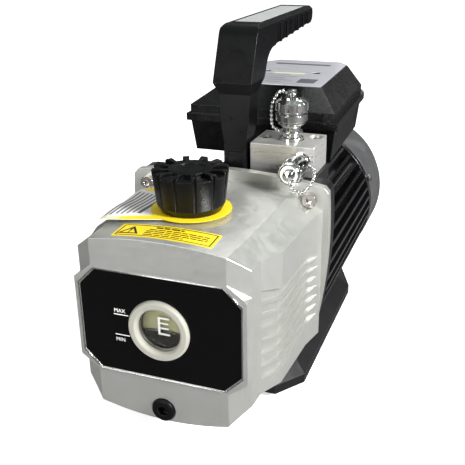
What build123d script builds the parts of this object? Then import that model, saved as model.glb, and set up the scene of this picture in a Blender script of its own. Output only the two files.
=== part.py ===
from build123d import *
import math
import os

# Oil-sealed two-stage rotary-vane vacuum pump with a totally enclosed fan-cooled motor.
# Millimetres. The shaft lies along Y with the oil casing at -Y. Z = 0 is the ground under the rubber feet,
# X = 0 is the centre plane and Y = 0 is half way along the machine.

# ---- driving dimensions -------------------------------------------------------------------------------
SHAFT_Z = 70.0            # height of the shaft above the ground
CASING_FRONT = -183.0     # front face of the oil casing
CASING_REAR = -67.0       # sealing face of the oil casing
FLANGE = 6.0              # thickness of the casing's bolting flange
CASING_WALL = 4.5
BRACKET_FRONT = -66.0
BRACKET_REAR = -52.0
MOTOR_REAR = 112.0        # rear end of the finned motor housing
FIN_RADIUS = 65.0
COWL_END = 185.6          # rear end of the fan cowl
GRIP_TOP = 243.5          # top of the carrying handle
BOX_FLOOR = 143.0         # underside of the terminal box
BOX_TOP = 191.0           # flat top of the terminal-box lid
SHAFT_R = 6.0             # pump shaft radius
MOTOR_SHAFT_R = 7.5
GAP = 0.03                # running clearance used between moving parts

BORE_R = 30.05            # stator bore; the rotor runs 0.05 mm from it at the lowest point
BORE_Z = 75.0             # the bore's centre sits above the shaft
ROTOR_R = 25.0
STATOR_R = 39.0
VANE = 4.0                # vane thickness
VANE_SLOT_FLOOR = 7.2     # distance of the vane slots' floor from the shaft axis

FILL_Y = -132.0           # oil fill neck
SIGHT_Z = 91.3            # sight glass height
DRAIN_Z = 37.5            # oil drain height
LARGE_PORT = (34.0, -38.0)      # upright 3/8 in flare port: X, Y
SMALL_PORT = (46.0, 157.6)      # forward 1/4 in flare port: X, Z
BLOCK_TOP = 168.0               # top face of the intake manifold
SADDLE_TOP = 147.0              # pad on the bracket that carries manifold and handle

# corner screws of the casing flange: half spacing and height, upper and lower pair
CASING_SCREWS = ((57.7, 139.5), (56.2, 38.0))


# ---- small shape helpers ------------------------------------------------------------------------------
def block(x0, x1, y0, y1, z0, z1):
    """Box between two opposite corners."""
    return Pos((x0 + x1) / 2, (y0 + y1) / 2, (z0 + z1) / 2) * Box(x1 - x0, y1 - y0, z1 - z0)


def rod_y(radius, y0, y1, x=0.0, z=SHAFT_Z):
    """Cylinder lying along Y."""
    return Pos(x, (y0 + y1) / 2, z) * Rot(90, 0, 0) * Cylinder(radius, y1 - y0)


def rod_z(radius, z0, z1, x=0.0, y=0.0):
    """Upright cylinder."""
    return Pos(x, y, (z0 + z1) / 2) * Cylinder(radius, z1 - z0)


def rod_x(radius, x0, x1, y=0.0, z=0.0):
    """Cylinder lying along X."""
    return Pos((x0 + x1) / 2, y, z) * Rot(0, 90, 0) * Cylinder(radius, x1 - x0)


def turned_y(points, x=0.0, z=SHAFT_Z):
    """Turned part on an axis along Y from (radius, y) points."""
    profile = make_face(Polyline(*points, close=True))
    return Pos(x, 0, z) * revolve(profile, Axis.Y)


def turned_z(points, x=0.0, y=0.0):
    """Turned part on an upright axis from (radius, z) points."""
    profile = make_face(Plane.XZ * Polyline(*points, close=True))
    return Pos(x, y, 0) * revolve(profile, Axis.Z)


def slab_x(points, x0, x1):
    """Outline of (y, z) points pushed along X."""
    sketch = make_face(Plane.YZ.offset(x0) * Polyline(*points, close=True))
    return extrude(sketch, amount=x1 - x0, dir=(1, 0, 0))


def slab_y(points, y0, y1):
    """Outline of (x, z) points pushed along Y."""
    sketch = make_face(Plane.XZ.offset(-y0) * Polyline(*points, close=True))
    return extrude(sketch, amount=y1 - y0, dir=(0, 1, 0))


def slab_z(points, z0, z1):
    """Outline of (x, y) points pushed along Z."""
    sketch = make_face(Plane.XY.offset(z0) * Polyline(*points, close=True))
    return extrude(sketch, amount=z1 - z0)


def mirrored(points):
    """Right-hand points followed by their left-hand mirror image."""
    return list(points) + [(-x, z) for x, z in reversed(points)]


def mirrored_plan(points):
    """Points on one side of the X axis followed by their mirror image across it."""
    return list(points) + [(x, -y) for x, y in reversed(points)]


def both_sides(shape):
    """A shape and its mirror image across the centre plane."""
    return shape + mirror(shape, Plane.YZ)


def joined(shapes):
    """Union of a list of shapes."""
    total = shapes[0]
    for shape in shapes[1:]:
        total = total + shape
    return total


def around_shaft(shape, count, start=0.0):
    """Copies of a shape turned about the shaft axis."""
    axis = Axis((0, 0, SHAFT_Z), (0, 1, 0))
    return [shape.rotate(axis, start + 360.0 / count * i) for i in range(count)]


def sector(inner, outer, half_angle, y0, y1):
    """Ring sector about the shaft centred on +X."""
    wedge = 2.0 * outer
    reach = wedge * math.tan(math.radians(half_angle))
    ring = rod_y(outer, y0, y1) - rod_y(inner, y0, y1)
    return ring & slab_y([(0, SHAFT_Z), (wedge, SHAFT_Z - reach), (wedge, SHAFT_Z + reach)], y0, y1)


def save(name, shape):
    """Writes one named piece."""
    export_step(shape, os.path.join("parts", name + ".step"))


# ---- oil casing ---------------------------------------------------------------------------------------
# half outline of the casing at stations along Y: ridge half-width, side half-width, height of the shoulder's
# foot, height of the lower side corner
STATIONS = (
    (CASING_FRONT, 41.4, 53.0, 134.0, 48.0),
    (-161.0, 42.8, 53.5, 133.5, 46.5),
    (-142.0, 43.6, 60.2, 131.5, 44.0),
    (-92.0, 45.2, 62.0, 130.5, 42.0),
    (CASING_REAR - FLANGE, 46.0, 66.0, 132.0, 42.0),
)
RIDGE_Z = 142.6
CROWN_Z = 146.0
SOLE_HALF = 41.0
SOLE_Z = 35.0
SOLE_CROWN_Z = 30.0
PANEL_HALF = 49.6
PANEL_LOW = 59.4
PANEL_HIGH = 124.2
PANEL_CUT = 10.5          # corner cut of the recess for the panel
PANEL_DEPTH = 1.2
SIDE_GROOVES = 7
# slanted cuts on the front corners, above and below: height at the ridge, height at the side, far end
CHEEKS = ((126.4, 114.6, 160.0), (57.2, 69.0, 20.0))
CHEEK_DEPTH = 7.0
NECK_R = 19.0             # outside of the oil fill neck
NECK_BORE_R = 15.0
WINDOW_R = 13.4           # clear opening of the oil window
WINDOW_LIP = 1.0
GLASS_R = 16.4
DRAIN_HEAD_R = 7.2
DRAIN_THREAD_R = 4.9
CLEAR_R = 2.7             # clearance hole of the 5 mm screws
TAP_R = 2.5               # threaded hole of the 5 mm screws
SHANK_R = 2.45
HEAD_R = 4.6              # socket head of the 5 mm screws


def casing_outline(y, ridge, side, shoulder, lower, inset):
    """Closed outline of the casing at one station; a positive inset gives the cavity's outline."""
    ridge_z = RIDGE_Z - 0.95 * inset
    sole_z = SOLE_Z + inset
    right = [
        (ridge - 0.6 * inset, ridge_z),
        (side - inset, shoulder - 0.6 * inset),
        (side - inset, lower + 1.3 * inset),
        (SOLE_HALF - 0.7 * inset, sole_z),
    ]
    left = [(-x, z) for x, z in right]
    top = ThreePointArc(left[0], (0, CROWN_Z - inset), right[0])
    bottom = ThreePointArc(right[3], (0, SOLE_CROWN_Z + inset), left[3])
    outline = top + Polyline(*right) + bottom + Polyline(*reversed(left))
    return Plane.XZ.offset(-y) * make_face(outline)


def casing_body(inset, front):
    """Solid through all stations, starting at the given front plane."""
    sections = []
    for y, ridge, side, shoulder, lower in STATIONS:
        sections.append(casing_outline(max(y, front), ridge, side, shoulder, lower, inset))
    return loft(sections, ruled=True)


def barrel_outline(inset):
    """Flange outline: crowned top and bottom with bulged sides."""
    top = (66.5 - inset, 147.4 - inset)
    shoulder = (69.2 - inset, 144.2 - inset)
    waist = (70.2 - inset, 105.0)
    hip = (60.9 - inset, 36.6 + inset)
    heel = (57.0 - inset, 33.8 + inset)
    right = (
        Line(top, shoulder)
        + ThreePointArc(shoulder, waist, hip)
        + Line(hip, heel)
    )
    left = mirror(right, Plane.YZ)
    crown = ThreePointArc((-top[0], top[1]), (0, 153.4 - inset), top)
    sole = ThreePointArc((-heel[0], heel[1]), (0, 30.4 + inset), heel)
    return make_face(crown + right + sole + left)


def barrel(inset, y0, y1):
    """Barrel-shaped plate between two planes."""
    return extrude(Plane.XZ.offset(-y0) * barrel_outline(inset), amount=y1 - y0, dir=(0, 1, 0))


def octagon(half, low, high, cut):
    """Octagonal panel outline as (x, z) points."""
    return mirrored([(half - cut, high), (half, high - cut), (half, low + cut), (half - cut, low)])


def cheek(z_inner, z_outer, z_end):
    """Flat cut that slopes the corner beside the front panel."""
    ridge, side = STATIONS[0][1], STATIONS[0][2]
    overshoot = 4.0
    slope = CHEEK_DEPTH / (side - ridge)
    wedge = slab_z(
        [
            (ridge, CASING_FRONT),
            (side + overshoot, CASING_FRONT + CHEEK_DEPTH + slope * overshoot),
            (side + overshoot, CASING_FRONT - 1),
            (ridge, CASING_FRONT - 1),
        ],
        0,
        160,
    )
    corner = slab_y(
        [(ridge, z_inner), (side + overshoot, z_outer), (side + overshoot, z_end), (ridge, z_end)],
        CASING_FRONT - 1,
        CASING_FRONT + 15,
    )
    return wedge & corner


def side_groove(index):
    """Cooling groove in the casing's right side: it drops towards the kink in the wall, then runs level."""
    floor_plan = [
        (51.2, -160.6),
        (57.3, -142.0),
        (59.0, -96.0),
        (60.2, -86.0),
        (66.8, -74.5),
        (75.0, -74.5),
        (75.0, -160.6),
    ]
    # (y, height of the first groove's lower edge, drop from groove to groove, groove height)
    sections = ((-162.0, 108.7, 8.65, 6.0), (-141.0, 102.6, 8.2, 5.6), (-74.0, 101.7, 7.0, 4.4))
    lower = [(y, top - drop * index) for y, top, drop, height in sections]
    upper = [(y, top - drop * index + height) for y, top, drop, height in sections]
    band = slab_x(lower + upper[::-1], 50.0, 76.0)
    return slab_z(floor_plan, 45.0, 120.0) & band


def flange_holes(radius, y0, y1):
    """Four corner-screw holes."""
    return joined([rod_y(radius, y0, y1, s * x, z) for x, z in CASING_SCREWS for s in (-1, 1)])


def oil_casing():
    """Die-cast oil tank that bolts over the pump cartridge."""
    body = casing_body(0, CASING_FRONT) + barrel(0, CASING_REAR - FLANGE, CASING_REAR)
    for z_inner, z_outer, z_end in CHEEKS:
        body = body - both_sides(cheek(z_inner, z_outer, z_end))
    for i in range(SIDE_GROOVES):
        body = body - both_sides(side_groove(i))
    body = body + rod_z(NECK_R, CROWN_Z - 5, CROWN_Z + 1, 0, FILL_Y)
    cavity = casing_body(CASING_WALL, CASING_FRONT + CASING_WALL)
    mouth_y, ridge, side, shoulder, lower = STATIONS[-1]
    mouth = extrude(
        casing_outline(mouth_y, ridge, side, shoulder, lower, CASING_WALL),
        amount=FLANGE + 1,
        dir=(0, 1, 0),
    )
    body = body - cavity - mouth
    body = body - rod_z(NECK_BORE_R, CROWN_Z - 10, CROWN_Z + 2, 0, FILL_Y)
    panel_floor = CASING_FRONT + PANEL_DEPTH
    recess = octagon(PANEL_HALF, PANEL_LOW, PANEL_HIGH, PANEL_CUT)
    body = body - slab_y(recess, CASING_FRONT - 1, panel_floor)
    body = body - rod_y(GLASS_R + 0.1, CASING_FRONT, CASING_FRONT + CASING_WALL - WINDOW_LIP, 0, SIGHT_Z)
    body = body - rod_y(WINDOW_R, CASING_FRONT, CASING_FRONT + CASING_WALL + 1, 0, SIGHT_Z)
    body = body - rod_y(DRAIN_HEAD_R + 0.5, CASING_FRONT - 1, CASING_FRONT + 1.5, 0, DRAIN_Z)
    body = body - rod_y(DRAIN_THREAD_R + 0.1, CASING_FRONT, CASING_FRONT + 13, 0, DRAIN_Z)
    body = body - flange_holes(CLEAR_R, CASING_REAR - FLANGE - 1, CASING_REAR + 1)
    return body - flange_holes(HEAD_R + 0.8, CASING_REAR - FLANGE - 13, CASING_REAR - FLANGE)


def front_panel():
    """Gloss panel let into the casing's front."""
    clearance = 0.1
    plate = slab_y(
        octagon(PANEL_HALF - clearance, PANEL_LOW + clearance, PANEL_HIGH - clearance, 10.5),
        CASING_FRONT + 0.05,
        CASING_FRONT + PANEL_DEPTH,
    )
    return plate - rod_y(19.0, CASING_FRONT - 1, CASING_FRONT + 5, 0, SIGHT_Z)


def sight_glass_ring():
    """Bevelled ring that frames the oil window."""
    seat = CASING_FRONT + PANEL_DEPTH
    return turned_y(
        [(WINDOW_R, seat), (18.9, seat), (18.9, seat - 2.6), (17.9, seat - 3.8), (14.9, seat - 3.8),
         (WINDOW_R, seat - 2.2)],
        0,
        SIGHT_Z,
    )


def sight_glass():
    """Oil-level window."""
    seat = CASING_FRONT + CASING_WALL - WINDOW_LIP
    thickness = 2.25
    return rod_y(GLASS_R, seat - thickness, seat, 0, SIGHT_Z)


def drain_plug():
    """Drain plug with a hexagon socket."""
    head_front = CASING_FRONT - 2.0
    head_rear = CASING_FRONT + 0.5
    tip = head_rear + 9.5
    bevel = 0.8
    plug = turned_y(
        [(0, tip), (DRAIN_THREAD_R - bevel, tip), (DRAIN_THREAD_R, tip - bevel), (DRAIN_THREAD_R, head_rear),
         (DRAIN_HEAD_R, head_rear), (DRAIN_HEAD_R, head_front + bevel), (DRAIN_HEAD_R - bevel, head_front),
         (0, head_front)],
        0,
        DRAIN_Z,
    )
    hexagon = extrude(RegularPolygon(3.4, 6), amount=3.5, both=True)
    socket = Pos(0, head_front, DRAIN_Z) * Rot(90, 0, 0) * hexagon
    return plug - socket


def drain_plug_seal():
    """Sealing washer under the drain plug's head."""
    face = CASING_FRONT + 1.5
    return turned_y([(5.0, face - 1), (7.1, face - 1), (7.1, face), (5.0, face)], 0, DRAIN_Z)


# ---- oil fill cap -------------------------------------------------------------------------------------
NECK_TOP = CROWN_Z + 1.0
TAG_THICK = 0.4
CAP_TOP = 173.8


def oil_fill_cap():
    """Fill and exhaust cap: faceted skirt with grooves, and ribs between scooped pockets on top."""
    under = NECK_TOP + TAG_THICK + 0.05
    count = 12
    pitch = 360.0 / count
    deck = CAP_TOP - 3.4
    skirt_low = under + 4.5
    half_foot, half_top = 20.6, 22.8
    rim = CAP_TOP - 0.6
    middle = CAP_TOP - 1.4
    profile = [
        (0, under), (half_foot - 2.4, under), (half_foot, skirt_low), (half_top, deck + 1.6),
        (half_top - 1.0, rim), (half_top - 4.0, rim), (11.5, middle), (0, middle),
    ]
    body = turned_z(profile)
    pocket_plan = mirrored_plan([(13.0, 2.2), (15.0, 2.9), (26.0, 4.3)])
    pocket = slab_z(pocket_plan, deck, CAP_TOP + 1)
    groove = Pos(0, 0, skirt_low) * Rot(0, 3.9, 0) * rod_z(0.9, -8, 40, half_foot + 0.35, 0)
    for i in range(count):
        body = body - Rot(0, 0, pitch * (i + 0.5)) * pocket - Rot(0, 0, pitch * i) * groove
    body = body - rod_z(9.5, CAP_TOP - 2.0, CAP_TOP)
    body = body + rod_z(14.7, NECK_TOP - 9.0, under + 1)
    body = body - rod_z(12.2, NECK_TOP - 10, deck - 4)
    seal_pocket = rod_z(18.4, under - 1, under + 1.5) - rod_z(14.7, under - 2, under + 2)
    return Pos(0, FILL_Y, 0) * (body - seal_pocket)


def fill_cap_seal():
    """Rubber ring under the fill cap."""
    base = NECK_TOP + TAG_THICK
    return turned_z([(15.4, base), (18.3, base), (18.3, base + 1.45), (15.4, base + 1.45)], 0, FILL_Y)


def fill_tag():
    """Paper reminder tag hung round the fill neck, with a hole the neck passes through."""
    card = slab_z(
        [(-12.0, -154.0), (-47.5, -165.5), (-49.0, -150.0), (-46.0, -111.5), (-39.0, -107.5), (-12.0, -112.0)],
        NECK_TOP,
        NECK_TOP + TAG_THICK,
    )
    ring = rod_z(24.2, NECK_TOP, NECK_TOP + TAG_THICK, 0, FILL_Y)
    return card + ring - rod_z(15.2, NECK_TOP - 1, NECK_TOP + 2, 0, FILL_Y)


# ---- bracket ------------------------------------------------------------------------------------------
SHAFT_SEAL_R = 14.0


def pump_bracket():
    """Cast bracket between oil casing and motor, with a saddle on top for manifold and handle."""
    plate = barrel(1.2, BRACKET_FRONT, BRACKET_REAR)
    left, right, rear, under = -16.0, 56.0, -18.0, SADDLE_TOP - 9.5
    saddle = block(left, right, BRACKET_REAR - 6, rear, under, SADDLE_TOP)
    gusset_plan = [(left, BRACKET_REAR), (right, BRACKET_REAR), (right - 6, rear), (left + 4, rear)]
    gusset = slab_z(gusset_plan, under, under + 3.5)
    foot = block(-40, 40, BRACKET_FRONT, BRACKET_REAR, 26, 36)
    spigot = rod_y(49.9, BRACKET_REAR, BRACKET_REAR + 4)
    body = plate + saddle + gusset + foot + spigot
    body = body - block(-80, 80, BRACKET_FRONT - 1, BRACKET_REAR + 1, SADDLE_TOP, 170)
    body = body - rod_y(HUB_R + 3.0, BRACKET_FRONT + 10, BRACKET_REAR + 5)
    body = body - rod_y(SHAFT_SEAL_R, BRACKET_FRONT + 2, BRACKET_REAR + 5)
    body = body - rod_y(SHAFT_R + GAP, BRACKET_FRONT - 1, BRACKET_REAR)
    body = body - flange_holes(TAP_R, BRACKET_FRONT - 1, BRACKET_FRONT + 10)
    body = body - cartridge_rods(TAP_R, BRACKET_FRONT - 1, BRACKET_FRONT + 8)
    body = body - tie_rods(TAP_R, BRACKET_REAR - 8, BRACKET_REAR + 1)
    body = body - joined([rod_z(TAP_R, SADDLE_TOP - 7, SADDLE_TOP + 1, x, y) for x, y in MANIFOLD_SCREWS])
    body = body - joined([rod_z(TAP_R, SADDLE_TOP - 7, SADDLE_TOP + 1, x, y) for x, y in HANDLE_SCREWS])
    body = body - rod_z(5.0, SADDLE_TOP - 5, SADDLE_TOP + 1, *LARGE_PORT)
    return body - joined([rod_z(2.0, 20, 33, s * BASE_SCREW_X, BASE_SCREW_YS[0]) for s in (-1, 1)])


def casing_gasket():
    """Gasket between casing and bracket."""
    mouth_y, ridge, side, shoulder, lower = STATIONS[-1]
    hole = extrude(
        casing_outline(mouth_y, ridge, side, shoulder, lower, CASING_WALL),
        amount=10,
        dir=(0, 1, 0),
    )
    sheet = barrel(0.8, CASING_REAR, BRACKET_FRONT)
    return sheet - hole - flange_holes(CLEAR_R, CASING_REAR - 1, BRACKET_FRONT + 1)


def shaft_seal():
    """Lip seal round the pump shaft."""
    y0, y1 = BRACKET_FRONT + 2, BRACKET_FRONT + 9
    lip = SHAFT_R + 0.02
    return turned_y(
        [(lip, y0 + 2), (SHAFT_SEAL_R, y0), (SHAFT_SEAL_R, y1), (lip + 2, y1), (lip + 2, y0 + 4),
         (lip, y0 + 3)]
    )


# ---- pump cartridge -----------------------------------------------------------------------------------
STAGE_ONE = (-96.0, BRACKET_FRONT)
CENTRE_PLATE = (-104.0, -96.0)
STAGE_TWO = (-122.0, -104.0)
END_PLATE = (-130.0, -122.0)
BOLT_CIRCLE = 34.6
FLAT_Z = 111.0            # flat milled on top of both stators for the exhaust reeds


def cartridge_rods(radius, y0, y1):
    """Four rods on the cartridge's bolt circle."""
    diagonal = BOLT_CIRCLE / math.sqrt(2)
    right = rod_y(radius, y0, y1, diagonal, BORE_Z + diagonal) + rod_y(radius, y0, y1, diagonal, BORE_Z - diagonal)
    return both_sides(right)


def cartridge_disc(span):
    """Round disc of the cartridge with the reed flat on top and its four bolt holes."""
    y0, y1 = span
    above = FLAT_Z + 20
    disc = rod_y(STATOR_R, y0, y1, 0, BORE_Z) - block(-STATOR_R, STATOR_R, y0 - 1, y1 + 1, FLAT_Z, above)
    return disc - cartridge_rods(2.6, y0 - 1, y1 + 1)


def stator(span):
    """Eccentric bored stator of one pumping stage, with two exhaust holes under the reed."""
    y0, y1 = span
    body = cartridge_disc(span) - rod_y(BORE_R, y0 - 1, y1 + 1, 0, BORE_Z)
    middle = (y0 + y1) / 2
    return body - both_sides(rod_z(2.0, BORE_Z, FLAT_Z + 1, 6, middle))


def cover_plate(span):
    """Plate that closes the stator bores and carries the pump shaft."""
    y0, y1 = span
    return cartridge_disc(span) - rod_y(SHAFT_R + GAP, y0 - 1, y1 + 1)


def vane_slot(width, inner, outer, y0, y1):
    """Flat block lying radially along +X from the shaft axis."""
    return block(inner, outer, y0, y1, SHAFT_Z - width / 2, SHAFT_Z + width / 2)


def rotors():
    """Slotted rotors of both stages."""
    shapes = []
    for y0, y1 in (STAGE_ONE, STAGE_TWO):
        body = rod_y(ROTOR_R, y0 + GAP, y1 - GAP) - rod_y(SHAFT_R, y0, y1)
        shapes.append(body - both_sides(vane_slot(VANE + 2 * GAP, VANE_SLOT_FLOOR, BORE_R, y0, y1)))
    return Compound(children=shapes)


def vane(span, side):
    """One sliding vane, fully retracted."""
    y0, y1 = span
    body = vane_slot(VANE, VANE_SLOT_FLOOR + 3.4, ROTOR_R - 0.1, y0 + 2 * GAP, y1 - 2 * GAP)
    return body if side > 0 else mirror(body, Plane.YZ)


def vane_springs():
    """Springs under the vanes, compressed, as closed sleeves."""
    sleeves = []
    for y0, y1 in (STAGE_ONE, STAGE_TWO):
        for share in (0.25, 0.75):
            y = y0 + share * (y1 - y0)
            inner, outer = VANE_SLOT_FLOOR + 0.05, VANE_SLOT_FLOOR + 3.35
            sleeve = rod_x(1.5, inner, outer, y, SHAFT_Z) - rod_x(0.9, inner - 1, outer + 1, y, SHAFT_Z)
            sleeves += [sleeve, mirror(sleeve, Plane.YZ)]
    return Compound(children=sleeves)


def pump_shaft():
    """Shaft that carries both rotors."""
    front, rear = END_PLATE[0] + 1, PUMP_HUB[1]
    bevel = 0.7
    return turned_y(
        [(0, front), (SHAFT_R - bevel, front), (SHAFT_R, front + bevel), (SHAFT_R, rear - bevel),
         (SHAFT_R - bevel, rear), (0, rear)]
    )


def exhaust_reeds():
    """Spring-steel reeds over the exhaust holes."""
    reeds = []
    for y0, y1 in (STAGE_ONE, STAGE_TWO):
        middle = (y0 + y1) / 2
        reeds.append(block(-11, 11, middle - 4, middle + 4, FLAT_Z, FLAT_Z + 0.4))
    return Compound(children=reeds)


def oil_baffle():
    """Bent sheet over the reeds that turns the oil mist back."""
    y0, y1 = END_PLATE[0] + 2, STAGE_ONE[1] - 3
    half, sheet, roof_z = 24.0, 1.2, FLAT_Z + 10
    roof = block(-half, half, y0, y1, roof_z, roof_z + sheet)
    walls = both_sides(block(half - sheet, half, y0, y1, FLAT_Z - 2.5, roof_z))
    cylinder = rod_y(STATOR_R + 0.05, y0 - 1, y1 + 1, 0, BORE_Z)
    return roof + walls - (cylinder & block(-STATOR_R, STATOR_R, y0 - 1, y1 + 1, 0, FLAT_Z))


def long_bolts():
    """Cartridge bolts and motor tie bolts."""
    head_y = END_PLATE[0]
    head, head_radius = 5.0, 4.2
    cartridge = cartridge_rods(SHANK_R, head_y, BRACKET_FRONT + 7)
    cartridge = cartridge + cartridge_rods(head_radius, head_y - head, head_y)
    tie = tie_rods(SHANK_R, BRACKET_REAR - 7, TIE_HEAD) + tie_rods(head_radius, TIE_HEAD, TIE_HEAD + head)
    return Compound(children=list(cartridge.solids()) + list(tie.solids()))


# ---- coupling -----------------------------------------------------------------------------------------
HUB_R = 20.0
JAW_IN = 9.0
PUMP_HUB = (-54.0, -44.0)
MOTOR_HUB = (-38.0, -29.0)


def coupling_hubs():
    """Two jaw hubs, one on each shaft."""
    pump_side = rod_y(HUB_R, *PUMP_HUB) - rod_y(SHAFT_R, *PUMP_HUB)
    for jaw in around_shaft(sector(JAW_IN, HUB_R, 20, PUMP_HUB[1], MOTOR_HUB[0] - 0.5), 3):
        pump_side = pump_side + jaw
    motor_side = rod_y(HUB_R, *MOTOR_HUB) - rod_y(MOTOR_SHAFT_R, *MOTOR_HUB)
    for jaw in around_shaft(sector(JAW_IN, HUB_R, 20, PUMP_HUB[1] + 0.5, MOTOR_HUB[0]), 3, 60):
        motor_side = motor_side + jaw
    return Compound(children=[pump_side, motor_side])


def coupling_spider():
    """Rubber spider between the jaws."""
    y0, y1 = PUMP_HUB[1] + 0.5, MOTOR_HUB[0] - 0.5
    body = rod_y(JAW_IN - 0.5, y0, y1)
    for leg in around_shaft(sector(JAW_IN - 2, HUB_R - 0.5, 9, y0, y1), 6, 30):
        body = body + leg
    return body


# ---- motor --------------------------------------------------------------------------------------------
TUBE_R = 54.0
TUBE_INNER = 50.0
CORE = (12.0, 72.0)
SLOT_COUNT = 12
SLOT_CIRCLE = 38.0
TIE_HEAD = 119.0
TIE_CIRCLE = 57.5
TIE_ANGLES = (38.0, 142.0, 218.0, 322.0)
CABLE_R = 7.0             # cable hole between motor and terminal box
CABLE_Y = 48.0
BEARINGS = ((-26.0, -15.0), (100.0, 111.0))
FIN_PITCH = 7.5           # degrees between cooling fins
FIN_HALF = 1.1            # half thickness of a fin
BEARING_OUTER_R = 17.5
BEARING_BALL_CIRCLE = 12.5


def tie_rods(radius, y0, y1):
    """Four rods on the motor's tie-bolt circle, angles measured from +X towards +Z."""
    rods = []
    for angle in TIE_ANGLES:
        x = TIE_CIRCLE * math.cos(math.radians(angle))
        z = SHAFT_Z + TIE_CIRCLE * math.sin(math.radians(angle))
        rods.append(rod_y(radius, y0, y1, x, z))
    return joined(rods)


def motor_foot(top):
    """Block under the motor that sits in the base, from its underside to the given height."""
    return block(-26, 26, -14, 92, 14, top)


def motor_housing():
    """Finned housing with the front bearing web, a foot and a pedestal for the terminal box."""
    body = rod_y(TUBE_R, BRACKET_REAR, MOTOR_REAR)
    fin_span = (BRACKET_REAR + 6, MOTOR_REAR - 3)
    fin = block(TUBE_R - 2, FIN_RADIUS, *fin_span, SHAFT_Z - FIN_HALF, SHAFT_Z + FIN_HALF)
    axis = Axis((0, 0, SHAFT_Z), (0, 1, 0))
    for i in range(-7, 6):
        right = fin.rotate(axis, i * FIN_PITCH)
        body = body + both_sides(right)
    pedestal = block(-30, 30, 0, 96, SHAFT_Z + 46, BOX_FLOOR)
    body = body + pedestal + motor_foot(26)
    body = body + tie_rods(5.0, BRACKET_REAR, MOTOR_REAR)
    body = body - rod_y(TUBE_INNER, BRACKET_REAR - 1, BEARINGS[0][0] - 1)
    body = body - rod_y(TUBE_INNER, BEARINGS[0][1] + 2, MOTOR_REAR + 1)
    body = body - rod_y(BEARING_OUTER_R, BEARINGS[0][0], MOTOR_REAR)
    body = body - rod_y(13.0, BRACKET_REAR, MOTOR_REAR)
    body = body - tie_rods(2.6, BRACKET_REAR - 1, MOTOR_REAR + 1)
    body = body - rod_z(CABLE_R, SHAFT_Z + 40, BOX_FLOOR + 1, 0, CABLE_Y)
    return body - joined([rod_z(2.0, 10, 22, s * BASE_SCREW_X, BASE_SCREW_YS[1]) for s in (-1, 1)])


def core_slots(radius, y0, y1):
    """Round winding slots of the stator core."""
    slot = rod_y(radius, y0, y1, SLOT_CIRCLE, SHAFT_Z)
    return joined(around_shaft(slot, SLOT_COUNT))


def stator_core():
    """Laminated stator core."""
    return rod_y(TUBE_INNER, *CORE) - rod_y(28.2, *CORE) - core_slots(5.0, CORE[0] - 1, CORE[1] + 1)


def windings():
    """Copper windings: slot bars joined by rounded end turns."""
    end_turn = Rot(90, 0, 0) * Torus(SLOT_CIRCLE, 8.0)
    body = core_slots(4.9, CORE[0] - 6, CORE[1] + 6)
    for y in (CORE[0] - 9, CORE[1] + 9):
        body = body + Pos(0, y, SHAFT_Z) * end_turn
    return body


def motor_rotor():
    """Squirrel-cage rotor."""
    inner, ring, outer = MOTOR_SHAFT_R, 24.0, 27.8
    overhang = 8.0
    front, rear = CORE
    return turned_y(
        [
            (inner, front - overhang), (ring, front - overhang), (ring, front), (outer, front), (outer, rear),
            (ring, rear), (ring, rear + overhang), (inner, rear + overhang),
        ]
    )


def motor_shaft():
    """Motor shaft, stepped behind the coupling."""
    r = MOTOR_SHAFT_R
    return turned_y([(0, -37.5), (r - 1, -37.5), (r, -36.5), (r, 149), (r - 1, 150), (0, 150)])


def bearing_ring(inner, outer):
    """One ring of both ball bearings, grooved for the balls."""
    rings = []
    for y0, y1 in BEARINGS:
        ring = rod_y(outer, y0, y1) - rod_y(inner, y0 - 1, y1 + 1)
        groove = Pos(0, (y0 + y1) / 2, SHAFT_Z) * Rot(90, 0, 0) * Torus(BEARING_BALL_CIRCLE, 3.1)
        rings.append(ring - groove)
    return Compound(children=rings)


def bearing_balls():
    """Balls of both bearings."""
    balls = []
    for y0, y1 in BEARINGS:
        ball = Pos(BEARING_BALL_CIRCLE, (y0 + y1) / 2, SHAFT_Z) * Sphere(3.0)
        balls += around_shaft(ball, 8)
    return Compound(children=balls)


def rear_end_shield():
    """Shield that closes the motor and holds the rear bearing."""
    seat, rear, spigot = BEARINGS[1][0] - 1, 118.0, 123.0
    body = turned_y(
        [
            (BEARING_OUTER_R, seat), (24, seat), (24, MOTOR_REAR), (FIN_RADIUS, MOTOR_REAR), (FIN_RADIUS, rear),
            (63.6, rear), (63.6, spigot), (60.5, spigot), (60.5, rear), (BEARING_OUTER_R, rear),
        ]
    )
    body = body + (rod_y(20, BEARINGS[1][1], rear) - rod_y(9.0, BEARINGS[1][1] - 1, rear + 1))
    body = body - tie_rods(2.6, MOTOR_REAR - 2, spigot + 1)
    body = body - tie_rods(HEAD_R, TIE_HEAD - 0.02, spigot + 1)
    return body - cowl_screw_rods(2.0)


def cooling_fan():
    """Radial fan on the rear shaft end."""
    y0, y1, radius, half_blade = 128.0, 146.0, 50.0, 0.9
    body = rod_y(14, y0, y1) + rod_y(radius, y0, y0 + 2)
    blade = block(10, radius, y0 + 1, y1, SHAFT_Z - half_blade, SHAFT_Z + half_blade)
    for one in around_shaft(blade, 8):
        body = body + one
    return body - rod_y(MOTOR_SHAFT_R, y0 - 1, y1 + 1)


COWL_SCREW_Y = 120.6
COWL_ANGLES = (20.0, 160.0, 270.0)


def cowl_screw_rods(radius, inner=58.0, outer=64.0):
    """Radial screw shanks that hold the fan cowl."""
    screw = rod_x(radius, inner, outer, COWL_SCREW_Y, SHAFT_Z)
    axis = Axis((0, 0, SHAFT_Z), (0, 1, 0))
    return joined([screw.rotate(axis, -angle) for angle in COWL_ANGLES])


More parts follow.
